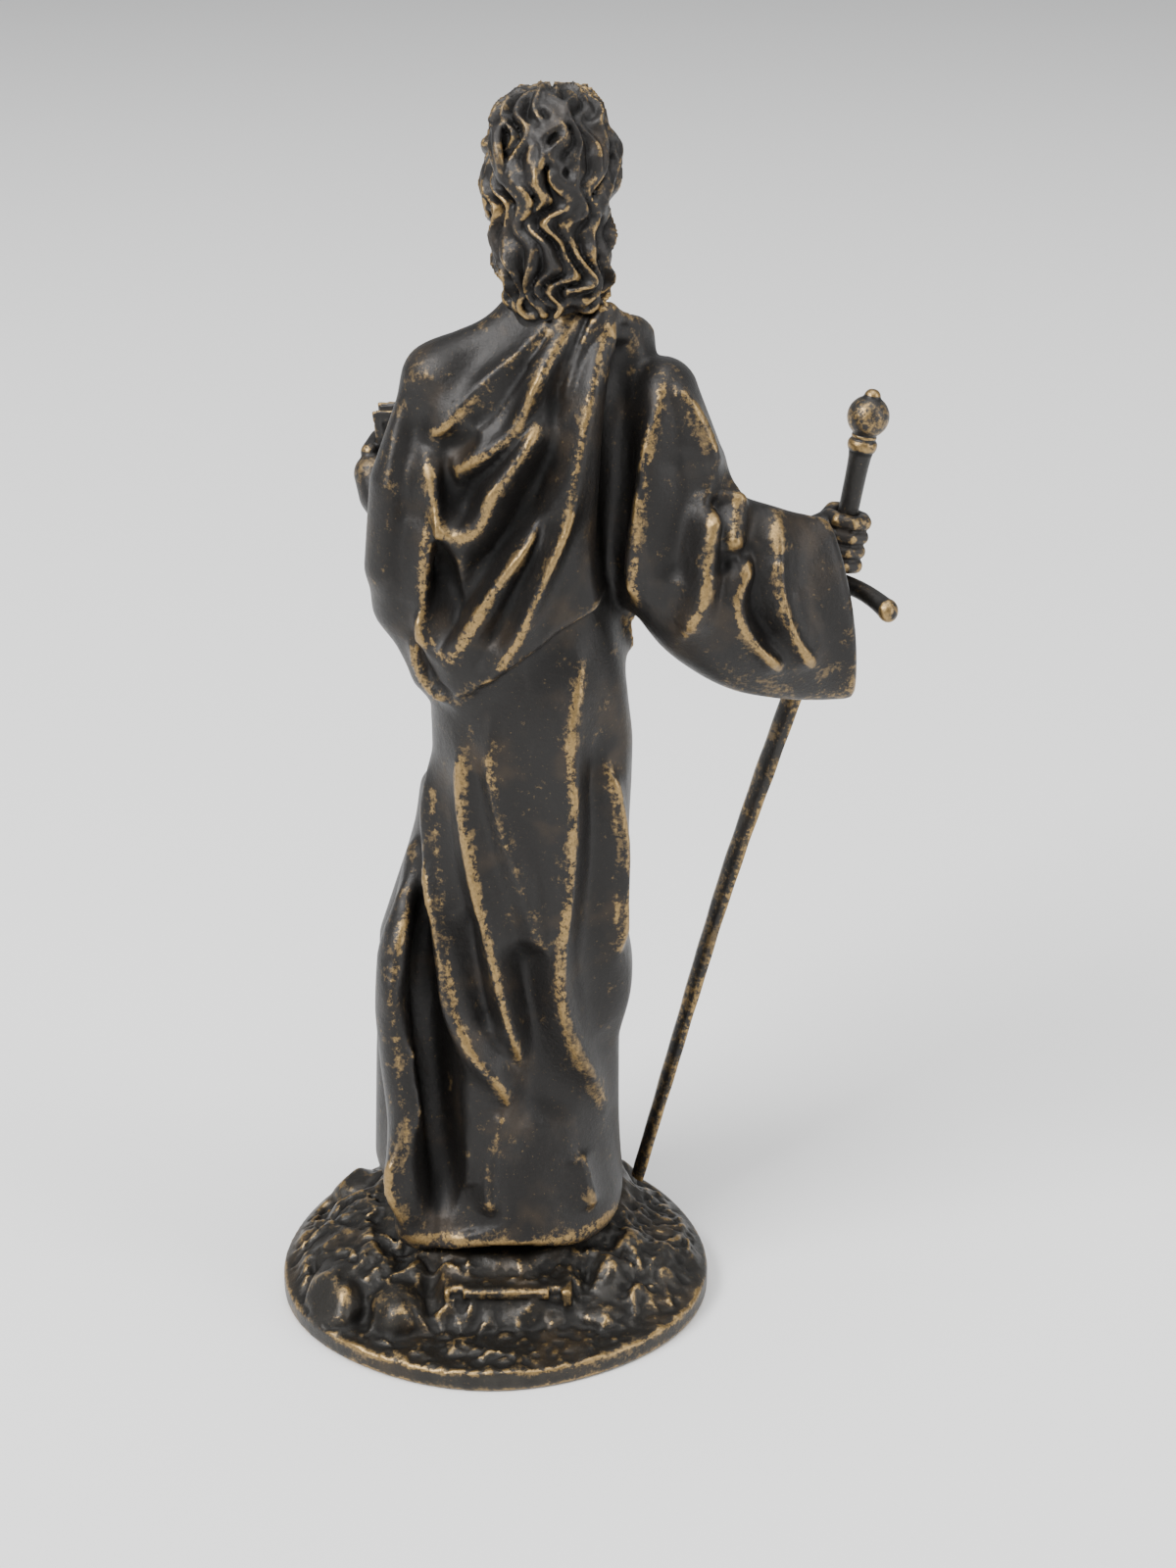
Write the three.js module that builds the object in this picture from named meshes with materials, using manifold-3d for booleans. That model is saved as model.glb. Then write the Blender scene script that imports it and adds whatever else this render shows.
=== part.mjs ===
// A small bronze saint: a bearded, robed man who holds a closed book on his left arm and rests his right hand
// on a long sword, on a round rocky base. Millimetres, +Z up. The figure looks along -Y, its right hand is at
// -X, and the origin is the centre of the base's flat underside.
import * as THREE from "three";
import { mergeVertices } from "three/addons/utils/BufferGeometryUtils.js";
import Module from "manifold-3d";

const wasm = await Module();
wasm.setup();

// Driving dimensions: the base.
const BASE_DIAMETER = 97;
const RIM_HEIGHT = 4.6;
const GROUND_HEIGHT = 16;
const BLOCK_WIDTH = 29;
const BLOCK_DEPTH = 17;
const BLOCK_HEIGHT = 13;
const PANEL_DEPTH = 0.8;

// Driving dimensions: the figure, from the ground under its feet to the top of its hair.
const FIGURE_HEIGHT = 254;
const BOOK_WIDTH = 17;
const BOOK_HEIGHT = 24;
const BOOK_THICKNESS = 5.4;

// Driving dimensions: the sword.
const GRIP_DIAMETER = 4.6;
const GRIP_LENGTH = 29.5;
const POMMEL_DIAMETER = 9;
const GUARD_SPAN = 38;
const GUARD_THICKNESS = 4.2;
const BLADE_WIDTH = 6.4;
const BLADE_TIP_WIDTH = 3.8;
const BLADE_THICKNESS = 2.6;
const BLADE_BOW = -2;
const BORE_CLEARANCE = 0.3;
const SOCKET_DEPTH = 3;

// The figure is laid out for this height; every coordinate and size of its carving is a share of it.
const LAYOUT_HEIGHT = 254;
const LAYOUT_GROUND = 16;
const LAYOUT_CENTRE = [2, 2];
const figureScale = FIGURE_HEIGHT / LAYOUT_HEIGHT;

const place = (x, y, z) =>
  new THREE.Vector3(
    (x - LAYOUT_CENTRE[0]) * figureScale,
    (y - LAYOUT_CENTRE[1]) * figureScale,
    GROUND_HEIGHT + (z - LAYOUT_GROUND) * figureScale,
  );

// Clay: a form is a function of x, y, z that is negative inside, and about a distance near its skin.
const clamp = THREE.MathUtils.clamp;
const lerp = THREE.MathUtils.lerp;

const join = (a, b, k) => {
  const h = Math.max(k - Math.abs(a - b), 0) / k;
  return Math.min(a, b) - (h * h * k) / 4;
};
const trim = (a, b, k) => -join(-a, -b, k);

const egg =
  ([cx, cy, cz], [rx, ry, rz]) =>
  (x, y, z) => {
    const [u, v, w] = [(x - cx) / rx, (y - cy) / ry, (z - cz) / rz];
    const k0 = Math.hypot(u, v, w);
    const k1 = Math.hypot(u / rx, v / ry, w / rz);
    return k1 < 1e-9 ? -Math.min(rx, ry, rz) : (k0 * (k0 - 1)) / k1;
  };

// A chain of straight stretches through nodes of x, y, z and radius.
const limb = (nodes) => (x, y, z) => {
  let nearest = Infinity;
  for (let i = 0; i + 1 < nodes.length; i++) {
    const [a, b] = [nodes[i], nodes[i + 1]];
    const [dx, dy, dz] = [b[0] - a[0], b[1] - a[1], b[2] - a[2]];
    const along = ((x - a[0]) * dx + (y - a[1]) * dy + (z - a[2]) * dz) / (dx * dx + dy * dy + dz * dz);
    const t = clamp(along, 0, 1);
    const off = Math.hypot(x - a[0] - t * dx, y - a[1] - t * dy, z - a[2] - t * dz);
    nearest = Math.min(nearest, off - lerp(a[3], b[3], t));
  }
  return nearest;
};

// A smooth curve through stations of [t, value, value, ...].
const through = (stations) => {
  const slope = (i, j) => {
    const [a, b] = [stations[Math.max(i - 1, 0)], stations[Math.min(i + 1, stations.length - 1)]];
    return (b[j] - a[j]) / (b[0] - a[0]);
  };
  return (t) => {
    const last = stations.length - 1;
    const at = clamp(t, stations[0][0], stations[last][0]);
    let i = 0;
    while (i < last - 1 && stations[i + 1][0] < at) i++;
    const [a, b] = [stations[i], stations[i + 1]];
    const span = b[0] - a[0];
    const s = (at - a[0]) / span;
    const [s2, s3] = [s * s, s * s * s];
    return a.slice(1).map((value, n) => {
      const j = n + 1;
      const start = (2 * s3 - 3 * s2 + 1) * value + (s3 - 2 * s2 + s) * span * slope(i, j);
      return start + (3 * s2 - 2 * s3) * b[j] + (s3 - s2) * span * slope(i + 1, j);
    });
  };
};

// Oval sections strung along an axis, "x" or "z": stations of [place on the axis, centre, centre, radius, radius].
const loft = (axis, stations) => {
  const section = through(stations);
  const [low, high] = [stations[0][0], stations[stations.length - 1][0]].sort((a, b) => a - b);
  return (x, y, z) => {
    const [t, p, q] = axis === "z" ? [z, x, y] : [-x, y, z];
    const [cp, cq, rp, rq] = section(t);
    const [u, v] = [(p - cp) / rp, (q - cq) / rq];
    const k0 = Math.hypot(u, v);
    const k1 = Math.hypot(u / rp, v / rq);
    const side = k1 < 1e-9 ? -Math.min(rp, rq) : (k0 * (k0 - 1)) / k1;
    return trim(side, Math.max(low - t, t - high), 2);
  };
};

// Distance to a closed outline in a plane, negative inside it.
const insideOutline = (outline) => (x, z) => {
  let nearest = Infinity;
  let inside = false;
  outline.forEach(([ax, az], i) => {
    const [bx, bz] = outline[(i + 1) % outline.length];
    const [dx, dz] = [bx - ax, bz - az];
    const t = clamp(((x - ax) * dx + (z - az) * dz) / (dx * dx + dz * dz), 0, 1);
    nearest = Math.min(nearest, Math.hypot(x - ax - t * dx, z - az - t * dz));
    if (az > z !== bz > z && x < ax + ((z - az) * dx) / dz) inside = !inside;
  });
  return inside ? -nearest : nearest;
};

// The robed body, from the hem to the neck.
const TRUNK = [
  [12, -1, 2, 27, 24],
  [20, -0.5, 1.5, 28.8, 25.5],
  [30, 0, 1, 27, 23],
  [42, 0.5, 1, 25, 20],
  [55, 0.5, 1, 24.5, 18.5],
  [75, -2, 1, 25, 17.5],
  [90, -4.5, 1, 23.5, 17],
  [105, -7, 1.5, 22, 16],
  [125, -8, 2, 22.6, 16],
  [143, -7.5, 2.5, 23, 16.5],
  [160, -6.5, 2, 21.5, 15],
  [178, -7, 1.5, 20.5, 14],
  [195, -10, 1.5, 23, 13.5],
  [207, -12, 1.5, 23.5, 12],
  [216, -12.3, 1, 21, 10.5],
  [222, -12.5, 0.5, 15.5, 9.5],
  [231, -12.5, 0, 10, 8.5],
];

// The wide right sleeve, along -X.
const SLEEVE = [
  [26, 4, 178, 9, 12],
  [34, 5, 174.5, 11.5, 20],
  [42, 5.5, 170.5, 12.5, 22.5],
  [50, 4.5, 167, 12, 23.5],
  [58, 2.5, 164, 11, 23],
  [66, 0, 162, 10.5, 22.6],
  [73, -1.5, 160.5, 9.8, 21.5],
  [79, -2, 151, 8.5, 11.5],
];

// The outline of the gathered cloak on the back, as x and z.
const CLOAK_ON_BACK = [
  [-24, 230],
  [-14, 225],
  [-7, 218],
  [-1, 213],
  [7, 206],
  [13, 200],
  [15, 188],
  [16, 172],
  [17, 160],
  [14, 149],
  [8, 145],
  [3, 147.5],
  [-4, 154.5],
  [-14, 160],
  [-27, 166],
  [-27, 185],
  [-25, 210],
];

const trunk = loft("z", TRUNK);
const cloakOutline = insideOutline(CLOAK_ON_BACK);

const bodyForms = [
  [egg([-12.3, 1.5, 206], [26.5, 11, 11.5]), 5],
  [limb([[9.5, 1, 210.5, 10.6], [17, 4, 190, 10.6], [19, 4, 173, 10.2], [18, 1, 165, 9.6]]), 2.5],
  [limb([[18, 2, 169, 8.4], [19.5, -8, 173, 7.6], [20.5, -15, 179, 6.4]]), 2],
  [limb([[17.5, 0, 163, 9.4], [12, 1.5, 151, 8.6]]), 4],
  [limb([[-6, 1, 222, 6.5], [4, 1, 217, 7.4], [11, 1, 212, 8.4]]), 4],
  [limb([[-34.5, 1.5, 208.4, 10], [-38, 4, 193, 12.5], [-41, 5.5, 178, 13.5]]), 2.5],
  [limb([[2, -3, 130, 13], [11.5, -10, 100, 12], [17.6, -13.5, 79, 12.6], [18.6, -13, 50, 13.2], [18.6, -11, 26, 14]]), 6],
  [limb([[-15, 0, 132, 14], [-17, -3, 84, 12], [-16, -5, 26, 13]]), 6],
  [egg([-19.5, -3, 76], [12.4, 14, 22]), 2],
  [limb([[20, 5, 96, 4], [22.2, 6.5, 84, 5.4], [22.8, 7.5, 72, 6], [21.6, 9, 60, 6.4], [20, 11, 46, 6.8], [18.3, 13.5, 33, 7.6], [17.6, 15, 20, 8.6]]), 2],
  [limb([[-27, 2, 206, 8], [-27, 3, 186, 8.6], [-28, 3.5, 174, 8.4], [-30, 4, 167, 7]]), 3],
  [limb([[-22, 9, 227, 3], [-27, 4, 224.5, 3.8], [-31, -3, 220, 4], [-32, -9, 212, 3.6]]), 2.5],
];

const valley = limb([[17.5, 17, 94, 3], [16.8, 17, 80, 5], [15, 17.5, 64, 6.5], [12.5, 19.5, 49, 6.5], [10, 22, 36, 4.5], [9, 25, 26, 2.5]]);
const sleeve = loft("x", SLEEVE);
const SLEEVE_MOUTH = { point: [-71.5, -1.5, 184], outward: [-0.916, -0.34, 0.21] };
const pastMouth = (x, y, z) => {
  const { point, outward } = SLEEVE_MOUTH;
  return (x - point[0]) * outward[0] + (y - point[1]) * outward[1] + (z - point[2]) * outward[2];
};

const CREST_ALLOWANCE = 1.8;
const smoothBody = (x, y, z) => {
  let d = trunk(x, y, z);
  for (const [form, k] of bodyForms) d = join(d, form(x, y, z), k);
  d = trim(d, -valley(x, y, z), 2);
  d = join(d, trim(sleeve(x, y, z), pastMouth(x, y, z), 3), 3);
  const gathered = Math.max(cloakOutline(x, z), 2 - y);
  return join(d, trim(trunk(x, y, z) - 2.4, gathered, 1.5), 1) + CREST_ALLOWANCE;
};

// Folds: crests and hollows of the cloth, as x and z seen from behind (back) or from the front, with their
// height or depth and their reach to each side.
const crest = (from, height, reach, path) => ({ from, height, reach, path });
const hollow = (from, depth, reach, path) => ({ from, height: -depth, reach, path });

const BACK_FOLDS = [
  crest("back", 2.2, 6, [[-23, 229], [-14, 225], [-7, 218], [-1, 213], [3, 210], [7, 206], [12, 202]]),
  crest("back", 2.2, 6, [[-21, 228], [-18, 226], [-14, 221], [-11, 216], [-8, 210], [-6, 204]]),
  crest("back", 1.6, 5, [[-2, 206], [0, 202], [2, 198], [6, 197]]),
  crest("back", 3, 7.5, [[-24, 227], [-21, 216], [-18, 202], [-15, 187], [-12, 179], [-9, 171], [-5, 161], [0, 154]]),
  crest("back", 2.6, 7, [[-10, 207], [-8, 202], [-4, 196], [-1, 192], [2, 185], [6, 182], [10, 184], [12, 190], [13, 198]]),
  crest("back", 2.4, 6, [[12, 188], [14, 180], [14.5, 170], [13, 161], [9.5, 156], [6, 160], [2, 167], [-3, 175], [-10, 185]]),
  crest("back", 1.2, 4, [[17, 160], [14, 150], [8, 146], [3, 149], [-4, 156]]),
  hollow("back", 2.4, 6, [[7, 178], [3, 176], [-2, 184], [-6, 192]]),
  hollow("back", 2.6, 5, [[10, 176], [9, 168], [7.5, 162]]),
  hollow("back", 2.6, 5, [[6, 200], [8, 193], [5, 189], [1, 195]]),
  hollow("back", 2.2, 6, [[-1, 160], [-6, 168], [-10, 178]]),
  hollow("back", 2.4, 5, [[-25, 222], [-25, 205], [-25.5, 185], [-27, 166]]),
  hollow("back", 2.6, 4, [[14.5, 208], [15, 196], [16, 180], [16, 168]]),
  crest("back", 2.6, 7, [[-18, 154], [-16, 141], [-16, 122], [-15, 105], [-13, 84], [-15, 69], [-19, 57], [-23, 46]]),
  crest("back", 1.9, 6, [[1, 141], [0, 129], [-3, 114], [-6, 104], [-9, 92], [-12, 87]]),
  crest("back", 2.2, 5.5, [[7, 135], [6, 120], [4, 105], [1, 88], [-2, 74], [-5, 62]]),
  crest("back", 3, 6, [[14, 125], [13, 107], [11, 88], [9, 74], [5, 65], [0, 59], [-2, 52]]),
  crest("back", 4, 7, [[20, 95], [22, 87], [23, 75], [22, 61], [20, 47], [17, 35], [14, 21]]),
  crest("back", 2, 6, [[-24, 131], [-26, 113], [-26, 98], [-26, 84]]),
  crest("back", 1.6, 6, [[-17, 38], [-20, 25]]),
  crest("back", 1.4, 6, [[-1, 52], [2, 38], [2, 27]]),
  hollow("back", 5.5, 7, [[17, 92], [16.5, 77], [14.5, 61], [12, 47], [9, 36]]),
  hollow("back", 2.6, 6, [[7, 98], [4.5, 82], [2, 70]]),
  hollow("back", 3, 7, [[-5, 92], [-8, 77], [-9, 60], [-8, 46]]),
  hollow("back", 2, 6, [[-21, 140], [-21, 112], [-20, 88], [-24, 66]]),
  hollow("back", 1.6, 6, [[9, 33], [6, 23]]),
];

const SLEEVE_FOLDS = [
  crest("back", 2.2, 6, [[-35, 217], [-34, 209], [-32, 199], [-31, 189], [-29, 176], [-30, 166]]),
  crest("back", 1.8, 6, [[-36, 212], [-40, 207], [-43, 201], [-45, 195]]),
  crest("back", 2.8, 4.5, [[-49, 193], [-49.5, 188], [-48.5, 179]]),
  crest("back", 3.4, 5, [[-45, 188], [-44, 180], [-43, 170], [-40, 162]]),
  crest("back", 2.6, 6, [[-58, 190], [-58, 179], [-58.5, 169], [-62, 159], [-67, 152]]),
  crest("back", 2.2, 5, [[-53, 177], [-50, 168], [-53, 160], [-60, 152]]),
  crest("back", 1.2, 4, [[-62, 170], [-63, 163], [-67, 157]]),
  hollow("back", 3, 4, [[-47, 190], [-46.5, 182], [-45.5, 174]]),
  hollow("back", 2.6, 5, [[-55, 180], [-54.5, 168], [-58, 158]]),
  hollow("back", 2.2, 5, [[-38, 200], [-39, 186], [-38, 172]]),
  crest("front", 2.4, 6, [[-36, 212], [-42, 196], [-48, 182], [-58, 172]]),
  crest("front", 2.4, 6, [[-34, 186], [-42, 170], [-54, 158], [-66, 152]]),
  crest("front", 2, 5, [[-34, 170], [-44, 158], [-56, 148]]),
  hollow("front", 2.4, 6, [[-38, 196], [-44, 180], [-54, 166]]),
];

const FRONT_FOLDS = [
  crest("front", 2.8, 7, [[-29, 222], [-26, 205], [-18, 190], [-6, 180], [8, 174]]),
  crest("front", 2.8, 7, [[-32, 214], [-30, 196], [-22, 180], [-8, 168], [10, 163]]),
  crest("front", 2.6, 7, [[-31, 190], [-26, 172], [-14, 158], [2, 152], [14, 154]]),
  crest("front", 2.6, 7, [[-30, 168], [-24, 150], [-10, 140], [6, 139], [16, 146]]),
  hollow("front", 2.4, 6, [[-28, 208], [-22, 194], [-12, 184], [2, 176]]),
  hollow("front", 2.4, 6, [[-29, 190], [-22, 174], [-10, 163], [4, 159]]),
  crest("front", 1.6, 5, [[-20, 219], [-14, 209], [-8, 212], [-2, 218]]),
  crest("front", 1.4, 5, [[2, 214], [4, 202], [2, 190]]),
  crest("front", 3, 8, [[14, 142], [4, 122], [-8, 100], [-18, 82], [-25, 66]]),
  crest("front", 2.8, 8, [[-2, 134], [-12, 112], [-20, 94], [-27, 80]]),
  crest("front", 2.6, 7, [[18, 132], [14, 112], [6, 92], [-6, 72], [-16, 58]]),
  hollow("front", 3, 7, [[6, 130], [-4, 110], [-14, 92], [-22, 78]]),
  crest("front", 2.6, 7, [[20, 84], [20, 66], [21, 46], [23, 26]]),
  crest("front", 2.4, 6, [[12, 82], [9, 64], [10, 44], [11, 24]]),
  hollow("front", 4, 7, [[3, 76], [1, 58], [1, 40], [1, 22]]),
  crest("front", 2.4, 6, [[-6, 58], [-6, 42], [-7, 22]]),
  crest("front", 2.4, 6, [[-15, 54], [-16, 40], [-18, 22]]),
  hollow("front", 2.4, 6, [[-11, 54], [-11, 40], [-12, 22]]),
  crest("front", 2.2, 6, [[25, 160], [24, 140], [22, 118], [23, 98]]),
];

// Lays a fold's path on the smooth body: each point drops onto the cloth from behind or from the front.
const REACH_OF_CLOTH = 45;
const layFold = ({ from, height, reach, path }) => {
  const side = from === "back" ? 1 : -1;
  const flat = new THREE.CatmullRomCurve3(path.map(([x, z]) => new THREE.Vector3(x, 0, z)));
  const steps = Math.ceil(flat.getLength() / 4);
  const points = flat.getSpacedPoints(steps).map(({ x, z }) => {
    let y = side * REACH_OF_CLOTH;
    for (let i = 0; i < 60 && side * y > -10; i++) {
      const d = smoothBody(x, y, z);
      if (d < 0.05) break;
      y -= side * Math.max(d * 0.7, 0.1);
    }
    return [x, y, z];
  });
  return { height, reach, points, box: new THREE.Box3().setFromPoints(points.map((p) => new THREE.Vector3(...p))).expandByScalar(reach) };
};

// How far a fold lifts the cloth at a point: a narrow crest with hollow flanks that fades out at both ends.
const FOLD_FADE = 0.14;
const CREST_ROUND = 0.7;
const liftOf = ({ height, reach, points, box }, skin, x, y, z) => {
  const { min, max } = box;
  if (x < min.x || x > max.x || y < min.y || y > max.y || z < min.z || z > max.z) return 0;
  let nearest = Infinity;
  let place = 0;
  for (let i = 0; i + 1 < points.length; i++) {
    const [a, b] = [points[i], points[i + 1]];
    const [dx, dy, dz] = [b[0] - a[0], b[1] - a[1], b[2] - a[2]];
    const along = ((x - a[0]) * dx + (y - a[1]) * dy + (z - a[2]) * dz) / (dx * dx + dy * dy + dz * dz);
    const t = clamp(along, 0, 1);
    const off = (x - a[0] - t * dx) ** 2 + (y - a[1] - t * dy) ** 2 + (z - a[2] - t * dz) ** 2;
    if (off < nearest) [nearest, place] = [off, (i + t) / (points.length - 1)];
  }
  const across = Math.sqrt(Math.max(nearest - skin * skin, 0) + CREST_ROUND ** 2) - CREST_ROUND;
  const flank = Math.max(1 - across / reach, 0);
  const ends = Math.min(place, 1 - place) / FOLD_FADE;
  return height * flank ** 1.7 * THREE.MathUtils.smoothstep(ends, -0.6, 1);
};

const folds = [...BACK_FOLDS, ...SLEEVE_FOLDS, ...FRONT_FOLDS].map(layFold);

const HEM_HEIGHT = 20;
const SLEEVE_WALL = 3;
const innerSkirt = egg([-1, -3, 24], [22, 19, 12]);
const hemDip = (x, y) => HEM_HEIGHT - 1.2 + 1.6 * Math.cos(x * 0.16 + 0.4) * clamp(y / 20, 0, 1);

const clothedBody = (x, y, z) => {
  const skin = smoothBody(x, y, z);
  if (skin > 8) return skin;
  let [crests, hollows] = [0, 0];
  for (const fold of folds) {
    const lift = liftOf(fold, skin, x, y, z);
    if (lift > 0) crests += lift ** 3;
    else hollows = Math.max(hollows, -lift);
  }
  let d = skin - Math.cbrt(crests) + hollows;
  d = trim(d, hemDip(x, y) - z, 1.5);
  return join(d, innerSkirt(x, y, z), 1);
};

// Feet that show under the front hem.
const feet = [
  limb([[-13.5, -12, 21, 5.6], [-16.5, -25, 20.4, 5], [-18.5, -34.5, 19.2, 3.9]]),
  limb([[16.5, -12, 21, 5.6], [19.5, -27, 20.3, 5], [21.2, -37, 19.1, 3.9]]),
];
const feetForm = (x, y, z) => Math.min(...feet.map((foot) => foot(x, y, z)));

// The head has a frame of its own: a towards the figure's left, b forward, c up.
const HEAD_CENTRE = [-12.5, -0.5, 249];
const HEAD_TURN = THREE.MathUtils.degToRad(12);
const HEAD_BOW = THREE.MathUtils.degToRad(6);
const [turnSin, turnCos, bowSin, bowCos] = [
  Math.sin(HEAD_TURN),
  Math.cos(HEAD_TURN),
  Math.sin(HEAD_BOW),
  Math.cos(HEAD_BOW),
];
const toHead = (x, y, z) => {
  const [px, py, pz] = [x - HEAD_CENTRE[0], y - HEAD_CENTRE[1], z - HEAD_CENTRE[2]];
  const a = px * turnCos - py * turnSin;
  const forward = -px * turnSin - py * turnCos;
  return [a, forward * bowCos - pz * bowSin, forward * bowSin + pz * bowCos];
};

const mirrored = (form) => (a, b, c) => form(Math.abs(a), b, c);
const SKULL = [11.5, 13.4, 14];
const faceForms = [
  [egg([0, -1.5, 4.2], SKULL), 1],
  [egg([0, -4.5, -9], [10.8, 8.6, 10]), 3],
  [egg([-2.2, -4.5, -14], [9.8, 7.6, 9.6]), 3],
  [egg([0, 3.8, -4], [9.2, 9.6, 13]), 3],
  [egg([0, 7, -12.5], [6.2, 6, 5.6]), 3],
  [egg([0, 6.5, -18], [9, 6.5, 9]), 3],
  [limb([[0, 12.6, 3.2, 1.1], [0, 14.9, -3.6, 1.5]]), 1.6],
  [egg([0, 14.4, -4.4], [2.1, 1.9, 1.5]), 1.2],
  [mirrored(limb([[1.5, 12.9, 3.4, 1], [5, 12, 4, 1], [7.6, 9.6, 2.6, 0.9]])), 1.6],
  [mirrored(egg([5.6, 10.4, -4], [2.8, 2.4, 2.4])), 2.4],
  [egg([0, 13.2, -10.2], [3, 1.6, 0.8]), 1],
];
const eyeHollows = mirrored(egg([3.9, 13.6, 0.6], [2.6, 2.4, 1.7]));
const eyeballs = mirrored(egg([3.8, 10.6, 0.5], [2.1, 2, 1.6]));

// Locks of hair and beard, each a wavy tapered roll. A small number from 0 to 1 stands in for chance.
const chance = (n) => {
  const s = Math.sin(n * 127.1 + 11.7) * 43758.5453;
  return s - Math.floor(s);
};
const onSkull = (azimuth, polar, out) => [
  Math.sin(polar) * Math.sin(azimuth) * (SKULL[0] + out),
  -1.5 + Math.sin(polar) * Math.cos(azimuth) * (SKULL[1] + out),
  3.5 + Math.cos(polar) * (SKULL[2] + out),
];
const LOCK_STEPS = 7;
const lock = (azimuth, from, to, wave, radius, seed) => {
  const nodes = [];
  for (let i = 0; i <= LOCK_STEPS; i++) {
    const t = i / LOCK_STEPS;
    const swing = wave * Math.sin(2 * Math.PI * (t * 1.1 + chance(seed)));
    const out = 0.8 + 0.9 * Math.sin(Math.PI * t) * chance(seed + 0.5);
    nodes.push([...onSkull(azimuth + swing, lerp(from, to, t), out), radius * (0.5 + 0.7 * Math.sin(Math.PI * (0.12 + 0.8 * t)))]);
  }
  return limb(nodes);
};

const FACE_HALF_ANGLE = 0.86;
const hairLocks = [];
[
  { count: 7, from: 0.1, to: 1.1, radius: 2.5, wave: 0.3, front: 0.2 },
  { count: 10, from: 0.8, to: 1.8, radius: 2.6, wave: 0.22, front: 0.9 },
  { count: 9, from: 1.5, to: 2.5, radius: 2.6, wave: 0.2, front: 1.25 },
].forEach(({ count, from, to, radius, wave, front }, tier) => {
  for (let i = 0; i < count; i++) {
    const share = (i + 0.5) / count;
    const azimuth = Math.max(front, tier ? FACE_HALF_ANGLE : 0) + share * 2 * (Math.PI - Math.max(front, tier ? FACE_HALF_ANGLE : 0));
    const seed = tier * 31 + i;
    hairLocks.push(lock(azimuth, from, to + 0.25 * chance(seed + 7), wave, radius, seed));
  }
});

const NAPE_LOCKS = 7;
for (let i = 0; i < NAPE_LOCKS; i++) {
  const a = lerp(-9, 9, i / (NAPE_LOCKS - 1));
  const sway = 1.6 * (chance(i + 60) - 0.5);
  hairLocks.push(
    limb([
      [a * 1.1, -11.4 + Math.abs(a) * 0.4, -7, 2.2],
      [a * 1.05 + sway - 1.2, -10 + Math.abs(a) * 0.35, -14, 2.3],
      [a * 1.05 - sway - 2.4, -9.4 + Math.abs(a) * 0.35, -21.5, 1.3],
    ]),
  );
}

const beardLocks = [];
const BEARD_ROWS = [
  { count: 7, spread: 8.4, top: -7, length: 11, forward: 9 },
  { count: 5, spread: 5.2, top: -11.5, length: 13, forward: 12 },
];
BEARD_ROWS.forEach(({ count, spread, top, length, forward }, row) => {
  for (let i = 0; i < count; i++) {
    const a = lerp(-spread, spread, i / (count - 1));
    const b = forward - 0.055 * a * a;
    const sway = chance(row * 17 + i + 80) - 0.5;
    beardLocks.push(
      limb([[a, b, top, 1.6], [a * 0.95 + sway, b + 1.2, top - length * 0.45, 2.1], [a * 0.7 - sway, b - 0.6, top - length, 0.9]]),
    );
  }
});
const moustache = mirrored(limb([[0.6, 14.3, -7.4, 0.9], [3.4, 13.4, -8.6, 1.3], [6.4, 10.8, -12, 0.9]]));

const headForm = (x, y, z) => {
  const [a, b, c] = toHead(x, y, z);
  let d = Infinity;
  for (const [form, k] of faceForms) d = d === Infinity ? form(a, b, c) : join(d, form(a, b, c), k);
  d = trim(d, -eyeHollows(a, b, c), 1.5);
  d = join(d, eyeballs(a, b, c), 0.4);
  for (const roll of hairLocks) d = join(d, roll(a, b, c), 0.5);
  for (const roll of beardLocks) d = join(d, roll(a, b, c), 1.2);
  d = join(d, moustache(a, b, c), 0.6);
  const neck = Math.hypot((x + 12.4) / 9.4, (y - 0.8) / 8.6);
  return join(d, trim((neck - 1) * 8.6, Math.abs(z - 229) - 12, 2), 2);
};

// The sword's line: from its tip in the ground to the guard, then the grip, which leans a little more upright.
const swordTip = place(-31.3, -13.5, 15.6);
const guardCentre = place(-72.4, -12.5, 164.3);
const gripEnd = place(-77, -12.5, 192);
const bladeLine = new THREE.Vector3().subVectors(guardCentre, swordTip).normalize();
const gripLine = new THREE.Vector3().subVectors(gripEnd, guardCentre).normalize();
const guardLine = new THREE.Vector3(-0.65, 0.76, 0).addScaledVector(bladeLine, 0.65 * bladeLine.x - 0.76 * bladeLine.y).normalize();

// Hands. The right one is a fist round the grip, the left one holds the book from below and outside.
const alongGrip = (share) => guardCentre.clone().addScaledVector(gripLine, GRIP_LENGTH * share);
const fistCentre = alongGrip(0.315);
const fingerAxis = gripLine;
const outwardHand = new THREE.Vector3(-0.8, 0.6, 0).addScaledVector(fingerAxis, -new THREE.Vector3(-0.8, 0.6, 0).dot(fingerAxis)).normalize();
const forwardHand = new THREE.Vector3().crossVectors(fingerAxis, outwardHand).normalize();
const FINGERS = 4;
const FINGER_RADIUS = 1.75;
const inLayout = (v) => [
  v.x / figureScale + LAYOUT_CENTRE[0],
  v.y / figureScale + LAYOUT_CENTRE[1],
  (v.z - GROUND_HEIGHT) / figureScale + LAYOUT_GROUND,
];
const aroundGrip = (angle, radius, along) =>
  inLayout(
    fistCentre
      .clone()
      .addScaledVector(outwardHand, radius * Math.cos(angle))
      .addScaledVector(forwardHand, radius * Math.sin(angle))
      .addScaledVector(fingerAxis, along),
  );
const rightHandForms = [];
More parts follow.
